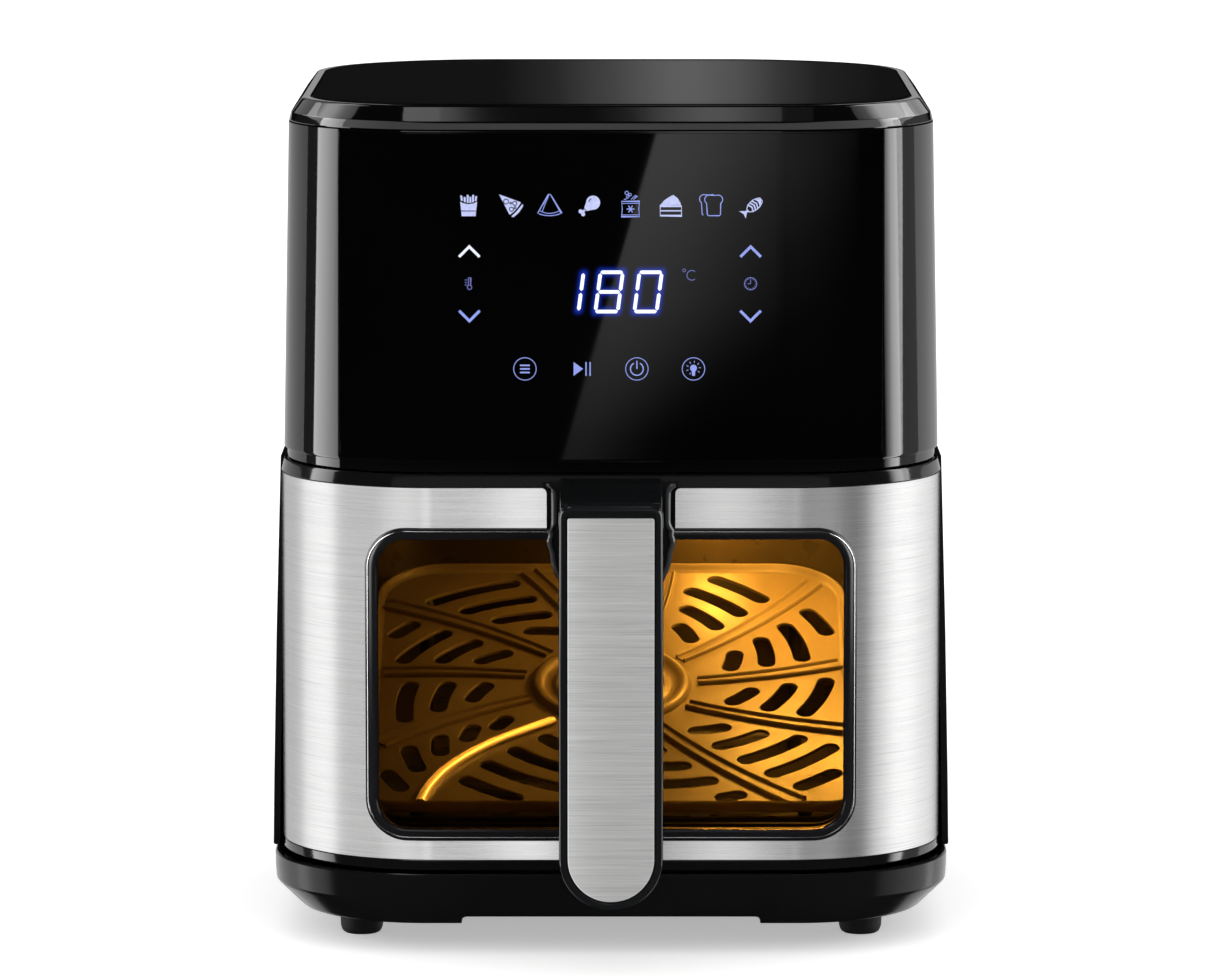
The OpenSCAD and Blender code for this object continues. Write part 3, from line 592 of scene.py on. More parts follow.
def side_half_width(z):
    """Half width of the lower housing at a height."""
    stops = [(LOWER_Z0, BASE_HW), (60, BASE_HW - 0.4), (120, BASE_HW - 1.7), (LOWER_Z1, SEAM_HW + 1.7)]
    for (z0, w0), (z1, w1) in zip(stops, stops[1:]):
        if z <= z1:
            return w0 + (w1 - w0) * (z - z0) / (z1 - z0)
    return stops[-1][1]


def lower_housing():
    """The wall round the sides and the back, from one side of the drawer front to the other."""
    heights = [LOWER_Z0 + 0.5, 45, 60, 75, 90, 105, 120, 140, 160, 180, LOWER_Z1 - 0.7]
    profile = ([(LOWER_Z0, 0.6)] + [(z, 0.0) for z in heights]
               + [(LOWER_Z1 - 0.2, 0.2), (LOWER_Z1, 0.7), (LOWER_Z1, LOWER_WALL)]
               + [(z, LOWER_WALL) for z in (120, 60, LOWER_Z0)])
    corner = CORNER_STEPS + 1
    paths = []
    for z, inset in profile:
        rear_half = plan(side_half_width(z), inset)[corner:3 * corner]
        w = side_half_width(z) - inset
        paths.append([(x, y, z) for x, y in [(w, SPLIT + 0.5)] + rear_half + [(-w, SPLIT + 0.5)]])
    hole = prism(arc(GLAND.x, GLAND.z, 7.1, 0, 352.5, 47), BACK - 6, BACK + 5)
    piece("side_housing", "housing", SATIN_BLACK, [swept(paths)],
          ["lower_housing"], "housing_satin", cuts=[hole])


def hood_half_width(z):
    """Half width of the upper housing at a height."""
    t = (z - SEAM_Z - 4.2) / (CAP_Z - 0.3 - SEAM_Z - 4.2)
    return SEAM_HW + (TOP_HW - SEAM_HW) * t


def upper_housing():
    """The hood, with a seat for the panel in its front and an opening for the rear cover in its back."""
    seat, wall, gap = 2.2, 3.9, 0.15
    low, high = PANEL_Z0 - gap, PANEL_Z1 + gap
    levels = [(SEAM_Z, 1.6, 0), (SEAM_Z + 0.3, 1.25, 0), (SEAM_Z + 3.7, 1.2, 0), (SEAM_Z + 3.8, 0.5, 0),
              (SEAM_Z + 4.1, 0.12, 0), (SEAM_Z + 4.5, 0, 0), (low, 0, 0), (low, 0, 1), (high, 0, 1),
              (high, 0, 0), (CAP_Z - 0.5, 0, 0), (CAP_Z - 0.3, 0.15, 0), (CAP_Z - 0.25, 0.5, 0),
              (CAP_Z - 0.25, wall, 0), (SEAM_Z, wall, 0)]
    columns = []
    for z, inset, recessed in levels:
        hw = hood_half_width(z)
        outer, inner = plan(hw, inset), plan(hw, inset + seat)
        column = []
        for i, here in enumerate(outer):
            after = outer[(i + 1) % len(outer)]
            inside = abs(here[0]) < PANEL_HW
            pocket = recessed and here[1] < 0 and inside
            column.append((*(inner if pocket else outer)[i], z))
            if here[1] < 0 and after[1] < 0 and inside != (abs(after[0]) < PANEL_HW):
                side = math.copysign(PANEL_HW + gap, here[0])
                steps = (recessed * seat, 0) if inside else (0, recessed * seat)
                column += [(*on_hood(side, inset + step, hw), z) for step in steps]
        columns.append(column)
    rear_opening = prism(rounded(42, 222, 296, 3, 3, 6), BACK - 12, BACK + 6)
    holes = [prism(arc(x, z, 1.9, 0, 345, 23), BACK - 12, BACK + 6) for x in REAR_SCREW_X for z in (217, 301)]
    piece("hood_housing", "housing", GLOSS_BLACK, [lattice(columns, wrap_rows=True)],
          ["upper_housing"], "housing_gloss", cuts=[rear_opening] + holes)


def on_hood(x, inset, hw):
    """A point of the hood's outline at a given x on its front."""
    r, centre = FRONT_R - inset, hw - FRONT_R
    across = max(abs(x) - centre, 0.0)
    return x, FRONT + FRONT_R - math.sqrt(r * r - across * across)


def touch_panel():
    """The lens: a curved slab let into the hood, its edges just broken."""
    heights = [PANEL_Z0 + (PANEL_Z1 - PANEL_Z0) * i / 8 for i in range(9)]
    rows = []
    for i in range(-44, 45):
        x = PANEL_HW * math.sin(math.radians(90 * i / 44))
        front = [(*on_hood(x, 0, hood_half_width(z)), z) for z in heights]
        rows.append(front + [(*on_hood(x, 2.0, hood_half_width(z)), z) for z in reversed(heights)])
    half, middle, top = DIGIT_W / 2, DIGIT_Z + DIGIT_H / 2, DIGIT_Z + DIGIT_H
    uprights = [DIGIT_X["1"] + DIGIT_W] + [DIGIT_X[figure] + a for figure in "80" for a in (0, DIGIT_W)]
    bars = [(x, middle, 0.3, 7.2) for x in uprights]
    bars += [(DIGIT_X["8"] + half, z, half, 0.3) for z in (DIGIT_Z, middle, top)]
    bars += [(DIGIT_X["0"] + half, z, half, 0.3) for z in (DIGIT_Z, top)]
    piece("touch_panel", "housing", touch_glass("touch_glass", bars), [lattice(rows)], ["control_panel"],
          "panel_gloss", edge=0.12)


def top_bezel():
    """The cap's frame: an upright band, a broad chamfer and a narrow flat rim round the top plate."""
    outer = [(CAP_Z, 0.7), (CAP_Z + 0.12, 0.3), (CAP_Z + 0.4, 0.2), (CAP_Z + 2.0, 0.62), (CAP_Z + 3.35, 1.02),
             (CAP_Z + 3.65, 1.2), (CAP_Z + 5.5, 2.55), (CAP_Z + 8.5, 4.75), (CAP_Z + 9.0, 5.15),
             (CAP_Z + 9.3, 5.55), (CAP_Z + 9.4, 6.0), (CAP_Z + 9.42, 8.3), (CAP_Z + 9.3, 8.6),
             (CAP_Z + 9.0, 8.7)]
    inner = [(HEIGHT - 2.3, 8.7), (HEIGHT - 2.3, 9.5), (CAP_Z + 4.8, 9.5), (CAP_Z + 2.6, 3.9), (CAP_Z, 3.9)]
    piece("top_bezel", "housing", GLOSS_BLACK, [band([(z, TOP_HW, inset) for z, inset in outer + inner])],
          ["top_cap"], "housing_gloss")


def top_lid():
    """The glossy plate on top, a little crowned towards its middle."""
    edge = [(HEIGHT - 2.2, 9.1), (HEIGHT - 0.85, 9.1), (HEIGHT - 0.5, 9.25), (HEIGHT - 0.3, 9.7)]
    crown = [(HEIGHT - 0.2, 12), (HEIGHT - 0.1, 20), (HEIGHT, 40)]
    piece("top_lid", "housing", GLOSS_BLACK, [loft([(z, TOP_HW, inset) for z, inset in edge + crown])],
          ["top_plate"], "panel_gloss")


# ---------- marks on the panel ----------

MARK_BACK = FRONT - 0.004
MARK_FRONT = FRONT - 0.035


def turned(points, degrees, scale=1.0):
    """Points turned and scaled round the mark's own centre."""
    c, s = polar(scale, degrees)
    return [(c * a - s * b, s * a + c * b) for a, b in points]


def placed(shapes, x, z, y=0.0):
    """Marks moved to a place on the panel."""
    return [([(a + x, b + y, c + z) for a, b, c in points], faces) for points, faces in shapes]


def area(points):
    """A filled mark."""
    return prism(points, MARK_BACK, MARK_FRONT)


def line(points, width, closed=False):
    """A mark drawn with a pen of that width."""
    rows, count = [], len(points)
    for i, here in enumerate(points):
        before = points[i - 1] if closed or i else here
        after = points[(i + 1) % count] if closed or i < count - 1 else here
        along, reach = heading(before, after), width / 2
        if closed or 0 < i < count - 1:
            reach /= max(abs(heading(before, here).dot(along)), 0.45)
        (a, b), dx, dz = here, -along.y * reach, along.x * reach
        rows.append([(a + dx, MARK_FRONT, b + dz), (a - dx, MARK_FRONT, b - dz),
                     (a - dx, MARK_BACK, b - dz), (a + dx, MARK_BACK, b + dz)])
    return lattice(rows, wrap_rows=closed)


def ring(x, z, r, width, start=0, end=360):
    """A circle or part of one, drawn with a pen."""
    whole = end - start >= 360
    return line(arc(x, z, r, start, end - 12 if whole else end, 29), width, closed=whole)


def dot(x, z, r):
    """A round filled mark."""
    return area(arc(x, z, r, 0, 337.5, 15))


def fries():
    cup = [(-3.3, 1.5), (-2.0, 0.8), (0, 0.5), (2.0, 0.8), (3.3, 1.5), (2.95, -2.0), (-2.95, -2.0)]
    foot = [(-2.9, -2.35), (2.9, -2.35), (2.7, -4.2), (-2.7, -4.2)]
    sticks = ((-3.0, 1.8, -0.3, 3.9), (-1.85, 1.25, -0.1, 3.3), (-0.75, 1.0, 0.0, 4.1), (0.3, 1.0, 0.0, 3.4),
              (1.3, 1.25, 0.1, 4.1), (2.3, 1.7, 0.3, 3.6))
    bars = [[(a, low), (a + 0.75, low), (a + 0.75 + lean, top), (a + lean, top)]
            for a, low, lean, top in sticks]
    return [area(outline) for outline in [cup, foot] + bars]


def pizza():
    wedge = [(-4.2, 4.3), (4.3, 1.2), (3.2, -0.6), (1.6, -2.4), (-0.1, -3.7)]
    crust = [(4.9, 0.6), (5.2, -0.2), (3.6, -2.7), (1.4, -4.6), (0.5, -4.3), (2.1, -2.9), (3.7, -1.0)]
    return [area(wedge), area(crust)]


def pizza_toppings():
    spots = ((-1.5, 1.5, 0.95), (1.9, 0.8, 0.8), (0.6, -1.5, 0.8), (2.0, -0.9, 0.4), (0.3, 0.9, 0.35))
    return [ring(x, z, r, 0.35) for x, z, r in spots]


def samosa():
    curve = arc(0, 7.4, 11.4, 246, 294, 12)
    return [line(curve + [(0.35, 4.3), (-0.35, 4.3)], 0.34, closed=True),
            line([(a * 0.8, b + 0.9) for a, b in curve], 0.28),
            line([(-0.4, 3.6), (-1.9, 0.2), (-2.9, -2.5)], 0.28)]


def drumstick():
    meat = arc(1.6, 0, 2.75, -135, 135, 20) + [(-2.4, 0.75), (-2.4, -0.75)]
    knobs = [dot(*turned([(-4.3, z)], 42)[0], 0.8) for z in (-0.75, 0.75)]
    return [area(turned(meat, 42)), line(turned([(-2.7, 0), (-4.2, 0)], 42), 0.9)] + knobs


def drumstick_shine():
    return [line(turned(arc(1.6, 0, 1.7, 70, 130, 8), 42), 0.35)]


def frozen_bag():
    outline = [(-3.5, -4.4), (3.5, -4.4), (3.2, -1.4), (3.5, 1.6), (-3.5, 1.6), (-3.2, -1.4)]
    flake = placed([line(turned([(-1.5, 0), (1.5, 0)], turn), 0.42) for turn in (0, 60, 120)], 0, -1.4)
    bits = [ring(x, z, r, 0.26) for x, z, r in ((-1.5, 4.9, 0.65), (-0.2, 4.2, 0.5), (-1.1, 3.4, 0.5))]
    sticks = [line([(0.2, 2.3), (1.9, 4.0), (2.6, 3.7), (1.1, 2.3)], 0.28),
              line([(-2.6, 2.3), (-1.2, 2.7)], 0.28)]
    seams = [line([(-w, z), (w, z)], 0.26) for w, z in ((3.4, 0.8), (3.3, -3.7))]
    return [line(outline, 0.32, closed=True)] + flake + bits + sticks + seams


def cake():
    top = [(-4.2, 0.2), (-2.6, 2.0), (-0.2, 3.6), (0.9, 4.1), (2.6, 2.8), (3.6, 1.2), (3.9, 0.2)]
    side = [(-4.2, -0.15), (4.1, -0.15), (4.1, -4.1), (-4.2, -4.1)]
    layers = [line([(-4.1, -depth), (4.0, -depth)], 0.5) for depth in (0.4, 2.1, 3.9)]
    return [area(top), line(side, 0.36, closed=True)] + layers


def bread():
    """Two slices with domed tops; the front one hides part of the rear one."""
    left, right = arc(-1.9, 2.3, 1.75, 235, 100, 8), arc(1.6, 2.3, 1.75, 80, -55, 8)
    loaf = left + [(0, 3.9)] + right + [(2.5, -3.6), (2.1, -4.0), (-2.2, -4.0), (-2.6, -3.6)]
    rear = [line(loaf[:len(left) + 2], 0.34), line([loaf[0], loaf[-1], loaf[-2]], 0.34)]
    return placed([line(loaf, 0.34, closed=True)], 1.0, 0) + placed(rear, -1.0, 0.2)


def fish():
    body = arc(0.3, -3.6, 5.6, 130, 52, 12) + arc(0.3, 3.6, 5.6, -52, -130, 12)
    tail = [(-3.0, 0.0), (-4.6, 0.7), (-6.4, 2.2), (-5.7, 0.0), (-6.2, -2.0), (-4.6, -0.7)]
    head = [(1.7, 1.7), (2.9, 1.0), (3.9, 0.0), (2.9, -1.0), (1.6, -1.8), (2.3, 0)]
    stripes = [line(turned([(a, -1.9), (a + 0.8, 0), (a, 1.9)], 40, 0.95), 0.55) for a in (-1.9, -0.7, 0.5)]
    return [line(turned(body, 40, 0.95), 0.36, closed=True), area(turned(tail, 40, 0.92)),
            area(turned(head, 40, 0.95))] + stripes


def chevron(way):
    return [line([(-4, -2 * way), (0, 2 * way), (4, -2 * way)], 1.05)]


def menu_key():
    return [ring(0, 0, 4.4, 0.3)] + [line([(-1.9, z), (1.9, z)], 0.6) for z in (-1.4, 0, 1.4)]


def play_key():
    pause = [area([(x, 2.7), (x + 0.5, 2.7), (x + 0.5, -2.7), (x, -2.7)]) for x in (2.0, 3.6)]
    return [area([(-2.6, 2.7), (-2.6, -2.7), (1.1, 0)])] + pause


def power_key():
    return [ring(0, 0, 4.4, 0.3), ring(0, 0, 2.5, 0.45, 118, 422), line([(0, 0), (0, 3.2)], 0.45)]


def lamp_key():
    socket = area([(-0.7, -0.7), (0.7, -0.7), (0.55, -2.7), (-0.55, -2.7)])
    rays = [line(turned([(2.1, 0), (2.9, 0)], turn), 0.26) for turn in range(-35, 240, 39)]
    return [ring(0, 0, 4.4, 0.3), socket] + placed([dot(0, 0, 1.35)] + rays, 0, 0.3)


def clock():
    ticks = [line(turned([(1.75, 0), (2.2, 0)], turn), 0.3) for turn in range(0, 360, 30)]
    return [ring(0, 0, 2.4, 0.32), line([(0, 1.6), (0, 0), (-1.1, 0)], 0.3)] + ticks


def thermometer():
    tube = line([(-0.45, 0.5), (-0.45, 3.8), (0.45, 3.8), (0.45, 0.5)], 0.32)
    return [tube, ring(0, 0, 0.85, 0.32)] + [line([(-1.85, z), (-0.95, z)], 0.28) for z in (0.9, 1.9, 2.9)]


def degrees_sign():
    return [ring(-3.0, 1.9, 0.55, 0.24), ring(0, 0, 1.9, 0.3, 50, 310)]


SEGMENTS = {"a": ((-0.01, 1), (1.01, 1)), "b": ((1, 0.975), (1, 0.525)), "c": ((1, 0.475), (1, 0.025)),
            "d": ((-0.01, 0), (1.01, 0)), "e": ((0, 0.475), (0, 0.025)), "f": ((0, 0.975), (0, 0.525)),
            "g": ((0.01, 0.5), (0.99, 0.5))}
DIGITS = {"1": "bc", "8": "abcdefg", "0": "abcdef"}


def bar(start, end, width):
    """One bar of a digit: a stroke with pointed ends."""
    a, b = Vector(start), Vector(end)
    along = (b - a).normalized()
    across = Vector((-along.y, along.x)) * width / 2
    nose = along * width / 2
    ends = [a, a + nose + across, b - nose + across, b, b - nose - across, a + nose - across]
    return area([tuple(p) for p in ends])


def digit(figure):
    """A slanted seven-bar digit in its place."""
    made = []
    for key in DIGITS[figure]:
        ends = [(DIGIT_X[figure] + u * DIGIT_W + v * DIGIT_H * DIGIT_SLANT, DIGIT_Z + v * DIGIT_H)
                for u, v in SEGMENTS[key]]
        made.append(bar(*ends, 1.4))
    return made


def marks():
    """Everything printed or lit on the panel, in one piece for each brightness."""
    row = [-55.4 + 15.75 * i for i in range(8)]
    pale, plain, dim, dark, white = ([] for _ in range(5))
    for group, drawn, x, z in (
            (pale, fries(), row[0], ROW_Z), (pale, pizza(), row[1] + 0.3, ROW_Z),
            (pale, drumstick(), row[3], ROW_Z), (pale, cake(), row[5], ROW_Z),
            (pale, fish(), row[7] + 0.8, ROW_Z), (dark, pizza_toppings(), row[1] + 0.3, ROW_Z),
            (dark, drumstick_shine(), row[3], ROW_Z), (plain, samosa(), row[2], ROW_Z),
            (plain, frozen_bag(), row[4], ROW_Z), (plain, bread(), row[6], ROW_Z),
            (plain, chevron(1), 54.4, 278.8), (plain, chevron(-1), -55.2, 253.7),
            (plain, chevron(-1), 54.4, 253.7), (plain, menu_key(), -33.6, KEY_Z),
            (plain, play_key(), -12, KEY_Z), (plain, power_key(), 10.1, KEY_Z),
            (plain, lamp_key(), 32.2, KEY_Z), (dim, clock(), 54.4, 266.3),
            (dim, thermometer(), -55.15, 264.9), (dim, degrees_sign(), 31.5, 269.6),
            (white, chevron(1), -55.2, 278.8)):
        group += placed(drawn, x, z)
    for name, material, shapes in (("marks_white", ICON_WHITE, white), ("marks_pale", ICON_PALE, pale),
                                   ("marks_blue", ICON_BLUE, plain), ("marks_dim", ICON_DIM, dim),
                                   ("marks_dark", GLOSS_BLACK, placed(dark, 0, 0, -0.02)),
                                   ("display_digits", DIGIT_WHITE, digit("1") + digit("8") + digit("0"))):
        piece(name, "housing", material, shapes, [], "panel_gloss", angle=60)


# ---------- drawer front ----------

def on_drawer(x, z, proud):
    """A point standing proud of the drawer's curved front, from where it is on that front."""
    centre = DRAWER_HW - FRONT_R
    turn = math.asin(max(min((abs(x) - centre) / FRONT_R, 1.0), 0.0))
    side = math.copysign(1.0, x)
    return (x + side * proud * math.sin(turn),
            FRONT + FRONT_R * (1 - math.cos(turn)) - proud * math.cos(turn), z)


def window_outline(inset):
    """The window frame's outline, pulled in by inset."""
    r = WINDOW_R - inset
    return rounded(WINDOW_HW - inset, WINDOW_Z0 + inset, WINDOW_Z1 - inset, r, r, 20)


def spread_out(outline, longest=4.0):
    """The same outline with long stretches divided, so that it can follow a curve."""
    made = []
    for (a, b), (c, d) in zip(outline, outline[1:] + outline[:1]):
        count = max(1, math.ceil(math.hypot(c - a, d - b) / longest))
        made += [(a + (c - a) * i / count, b + (d - b) * i / count) for i in range(count)]
    return made


def window_ring(profile):
    """A ring round the window from a closed profile of (inset, proud)."""
    kx, kz, mid = WINDOW_HW - WINDOW_R, (WINDOW_Z1 - WINDOW_Z0) / 2 - WINDOW_R, (WINDOW_Z0 + WINDOW_Z1) / 2
    outline = spread_out(window_outline(0))
    rows = []
    for inset, proud in profile:
        row = []
        for x, z in outline:
            cx, cz = max(min(x, kx), -kx), max(min(z - mid, kz), -kz) + mid
            away = Vector((x - cx, z - cz))
            shrink = (away.length - inset) / away.length
            row.append(on_drawer(cx + away.x * shrink, cz + away.y * shrink, proud))
        rows.append(row)
    return lattice(rows, wrap_rows=True)


def window_slab(inset, front, back):
    """A curved pane inside the window's outline, between two depths behind the front."""
    hw, r = WINDOW_HW - inset, WINDOW_R - inset
    low, high = WINDOW_Z0 + inset, WINDOW_Z1 - inset
    flat = [((hw - r) * i / 20, 0.0) for i in range(20)]
    half = flat + [(hw - r + a, r + b) for a, b in arc(0, 0, r, -90, 0, 12)]
    stations = [(-x, d) for x, d in reversed(half[1:])] + half
    return lattice([[on_drawer(x, low + d, -front), on_drawer(x, high - d, -front),
                     on_drawer(x, high - d, -back), on_drawer(x, low + d, -back)] for x, d in stations])


def drawer_front():
    """The shell with its black edges above and below the steel, its flanges and its screw posts."""
    wall, recess = 3.6, STEEL_T + 0.1
    profile = [(0.9, DRAWER_Z0), (0.25, DRAWER_Z0 + 0.2), (0, DRAWER_Z0 + 0.8), (0, STEEL_Z0 - 0.35),
               (0.2, STEEL_Z0 - 0.12), (recess, STEEL_Z0 - 0.12), (recess, STEEL_Z1 + 0.12),
               (0.2, STEEL_Z1 + 0.12), (0, STEEL_Z1 + 0.4), (0.15, STEEL_Z1 + 1.2), (0.85, DRAWER_Z1 - 0.9),
               (1.1, DRAWER_Z1 - 0.3), (1.6, DRAWER_Z1), (wall, DRAWER_Z1), (wall, DRAWER_Z0)]
    flanges = [prism(drawer_plan(wall), low, low + 3, "z") for low in (DRAWER_Z0, DRAWER_Z1 - 3)]
    opening = prism(window_outline(-0.3), FRONT - 6, FRONT + 18)
    piece("drawer_front_shell", "drawer", TRIM_BLACK, [drawer_band(profile)],
          ["drawer_shell"], "trim_gloss", cuts=[opening])
    piece("drawer_front_flanges", "drawer", TEXTURED_BLACK, flanges, [], "trim_gloss", edge=0.3)
    low = span("inner_panel")[0]
    post = [(0, FRONT + 24), (4.2, FRONT + 24), (4.0, low.y - 1), (3.4, low.y - 0.1), (0, low.y - 0.1)]
    posts = [revolve(post, (x, 0, z), "y", 24) for x in (-112, 112) for z in (46, 112, 178)]
    piece("drawer_screw_posts", "drawer", TEXTURED_BLACK, posts, [], "trim_gloss")


def steel_front():
    """The wrapped steel, cut out for the window and the neck."""
    profile = [(0.3, STEEL_Z0), (0.06, STEEL_Z0 + 0.1), (0, STEEL_Z0 + 0.35), (0, 60), (0, 90), (0, 120),
               (0, 150), (0, STEEL_Z1 - 0.35), (0.06, STEEL_Z1 - 0.1), (0.3, STEEL_Z1), (STEEL_T, STEEL_Z1),
               (STEEL_T, STEEL_Z0)]
    opening = prism(window_outline(-0.2), FRONT - 6, FRONT + 18)
    r = 2.2
    side = (arc(NECK_HW + r, WINDOW_Z1 - 2.4 + r, r, 270, 180, 6)
            + arc(NECK_HW + r, STEEL_Z1 - r, r, 180, 90, 6) + [(NECK_HW + r, STEEL_Z1 + 3)])
    notch = side + [(-x, z) for x, z in reversed(side)]
    piece("steel_front", "drawer", STEEL, [drawer_band(profile, SPLIT - 0.6)], ["steel_cladding"],
          "steel_brushed", cuts=[opening, prism(notch, FRONT - 5, FRONT + 5)])


def window():
    """The window's black frame, the bright bead in it, and the curved pane."""
    bezel = [(0.15, -1.2), (0.0, 0.5), (0.1, 0.85), (0.35, 1.05), (0.85, 1.05), (1.05, 0.75), (1.45, 0.75),
             (1.75, 0.95), (3.5, 0.95), (3.95, 0.75), (4.3, 0.25), (4.5, -0.4), (4.5, -1.3), (0.3, -1.3)]
    bead = arc(1.25, 1.0, 0.3, 0, 315, 7)
    piece("window_bezel", "drawer", BEZEL_BLACK, [window_ring(bezel)], ["window_frame"], "trim_gloss",
          angle=50)
    piece("window_bezel_bead", "drawer", EDGE_CHROME, [window_ring(bead)], [], "trim_gloss", angle=60)
    # the pane's amber is partly painted warm lamplight
    piece("window_pane", "drawer", WINDOW_GLASS, [window_slab(0.4, 1.4, 4.4)], ["window_glass"],
          "window_glass", edge=0.25)


# ---------- handle ----------

def handle_surround():
    """The raised plate behind the handle, and the round ridges down its sides, whose lighter tone is a
    painted highlight.
    """
    half = ([(27.0, DRAWER_Z1 - 2.6), (26.2, DRAWER_Z1 - 3.9)] + arc(26.4, DRAWER_Z1 - 6.9, 3.0, 90, 180, 6)
            + [(23.3, 180), (23.3, 173.5)] + arc(28.6, 173.5, 5.3, 180, 225, 5)
            + arc(19.9, 165.2, 5.3, 28, -12, 5) + [(23.9, 160.5)] + arc(3.0, 161.5, 21.0, -8, -70, 10))
    face = FRONT - 3.1
    last = len(half) - 2
    ridges = []
    for side in (-1, 1):
        rows = []
        for i in range(1, last + 1):
            (x, z), along = half[i], heading(half[i - 1], half[i + 1])
            w = 1.15 * min(1.0, 0.35 + 0.22 * (i - 1), 0.35 + 0.22 * (last - i))
            rows.append([(side * (x - 1.1) + along.y * u, face - v, z - along.x * u)
                         for u, v in (polar(w, turn) for turn in range(0, 360, 36))])
        ridges.append(lattice(rows))
    outline = half + [(-x, z) for x, z in reversed(half)]
    piece("handle_surround", "drawer", BEZEL_BLACK, [prism(outline, face, FRONT - 1.45)],
          ["handle_shield"], "trim_gloss", edge=0.5, steps=3)
    # the ridges take the lighter tone: a painted highlight
    piece("handle_surround_ridges", "drawer", RIDGE_PAINTED_HIGHLIGHT, ridges, [], "trim_gloss")


def handle():
    """Neck, rear half, front half with a sunk field, and the steel inlay in it."""
    w = HANDLE_HW - 0.5
    y0, y1, split = FRONT - 3.2, HANDLE_BACK + 0.1, HANDLE_SPLIT + 0.1
    shoulder = HANDLE_Z1 - 4.0
    outline = ([(y0, DRAWER_Z1 - 0.9), (split, HANDLE_Z1 - 0.1), (split, shoulder + 0.1)]
               + arc(HANDLE_BACK - 3, shoulder - 3, 3.1, 90, 0, 6)
               + [(y1, 152)] + arc(y1 + 8, 152, 8, 180, 250, 6) + [(y0, 143)])
    piece("handle_bridge", "drawer", HANDLE_BLACK, [prism(outline, -w, w, "x")], ["handle_neck"],
          "handle_satin", edge=0.7, steps=3)

    def rear_outline(inset):
        return tongue(inset, shoulder, 0.4)

    piece("handle_rear_half", "drawer", HANDLE_BLACK,
          [pushed(rear_outline, soft_ends(split, HANDLE_BACK, 0.5, 3.0))], ["handle_back"], "handle_satin")
    field = HANDLE_Y + 1.1
    levels = ([(HANDLE_SPLIT, 0.5), (HANDLE_SPLIT - 0.15, 0.15), (HANDLE_SPLIT - 0.5, 0)]
              + [(HANDLE_Y + d, i) for d, i in quarter(1.7, 6)]
              + [(HANDLE_Y, 2.3), (HANDLE_Y + 0.12, 2.7), (HANDLE_Y + 0.5, 2.95), (field, 3.0)])
    piece("handle_front_half", "drawer", HANDLE_BLACK, [pushed(tongue, levels)], ["handle_front"],
          "handle_satin")
    inlay = [(field - 0.02, 3.35), (HANDLE_Y + 0.45, 3.35), (HANDLE_Y + 0.22, 3.45), (HANDLE_Y + 0.12, 3.75)]

    def inlay_outline(inset):
        return tongue(inset, HANDLE_Z1 - 1.6, 4.4)

    piece("handle_inlay", "drawer", INLAY_STEEL, [pushed(inlay_outline, inlay)], ["handle_insert"],
          "steel_brushed")


# ---------- pan and crisper plate ----------

PAN_LOW, PAN_HIGH = span("pan")
PAN_HW = PAN_HIGH.x - 5
PAN_BACK = PAN_HIGH.y - 5
PAN_R = 34
PAN_T = 1.2


def pan_ring(inset, z):
    """The pan seen from above at a height, pulled in by inset."""
    front_r, back_r = max(9 - inset, 3), max(PAN_R - inset, 6)
    outline = rounded(PAN_HW - inset, PAN_LOW.y + inset, PAN_BACK - inset, front_r, back_r, 16)
    return [(x, y, z) for x, y in outline]


def pan():
    """A pressed pan with a window in its front, and a rolled rim along its sides and back."""
    z0, z1, r = PAN_LOW.z, PAN_HIGH.z, 4.0
    floor = [(z0, 30), (z0, r)]
    for turn in (18, 36, 54, 72, 90):
        down, along = polar(r, turn)
        floor.append((z0 + r - down, r - along))
    outer = floor + [(90, 0), (130, 0), (z1 - 0.4, 0), (z1, 0.3)]
    inner = [(z1, PAN_T - 0.3), (z1 - 0.4, PAN_T), (130, PAN_T), (90, PAN_T)]
    inner += [(z + PAN_T, i + PAN_T) for z, i in reversed(floor)]
    opening = prism(rounded(94.5, 48, 164.5, 12, 12, 10), PAN_LOW.y - 2, PAN_LOW.y + 4)
    piece("pan_body", "drawer", PAN_COAT, [lattice([pan_ring(i, z) for z, i in outer + inner])],
          ["pan"], "pan_coated", cuts=[opening])
    profile = [(0.2, z1 - 0.9), (-3.8, z1 - 0.9), (-4.6, z1 - 1.5), (-5.0, z1 - 1.1), (-5.0, z1 - 0.5),
               (-4.5, z1), (-0.2, z1), (0.2, z1 - 0.2)]
    paths = []
    for inset, z in profile:
        hw, corner = PAN_HW - inset, PAN_R - inset
        right = [(hw, PAN_LOW.y + 20)] + arc(hw - corner, PAN_BACK - inset - corner, corner, 0, 90, 16)
        paths.append([(x, y, z) for x, y in right + [(-x, y) for x, y in reversed(right)]])
    piece("pan_rim", "drawer", PAN_COAT, [swept(paths)], [], "pan_coated")


PLATE_SLOPE = math.radians(20)
PLATE_Y0 = PAN_LOW.y + 4
PLATE_Z0 = span("crisper_plate")[0].z
PLATE_HW = span("crisper_plate")[1].x
PLATE_L = 205
PLATE_T = 1.6
PLATE_FRONT_R = 12
PLATE_BACK_R = 30
SECTORS = 11
HUB_R = 13
RING_R = 31
LONG_RIB = 7
RIDGE = [(-4.6, 0), (-4.3, 1.1), (-3.5, 1.9), (-1.6, 2.3), (1.6, 2.3), (3.5, 1.9), (4.3, 1.1), (4.6, 0)]
GUTTER = [(2.2, 0.55), (2.5, 0.9), (2.9, 1.5), (3.5, 1.75), (4.1, 1.5), (4.5, 0.8), (4.6, 0)]
CHANNEL = [(-u, h) for u, h in reversed(GUTTER)] + GUTTER


def sloped(x, v, h):
    """A point on the plate: x across it, v from its centre up the slope, h above its lower face."""
    along = v + PLATE_L / 2
    c, s = math.cos(PLATE_SLOPE), math.sin(PLATE_SLOPE)
    return x, PLATE_Y0 + along * c - h * s, PLATE_Z0 + along * s + h * c


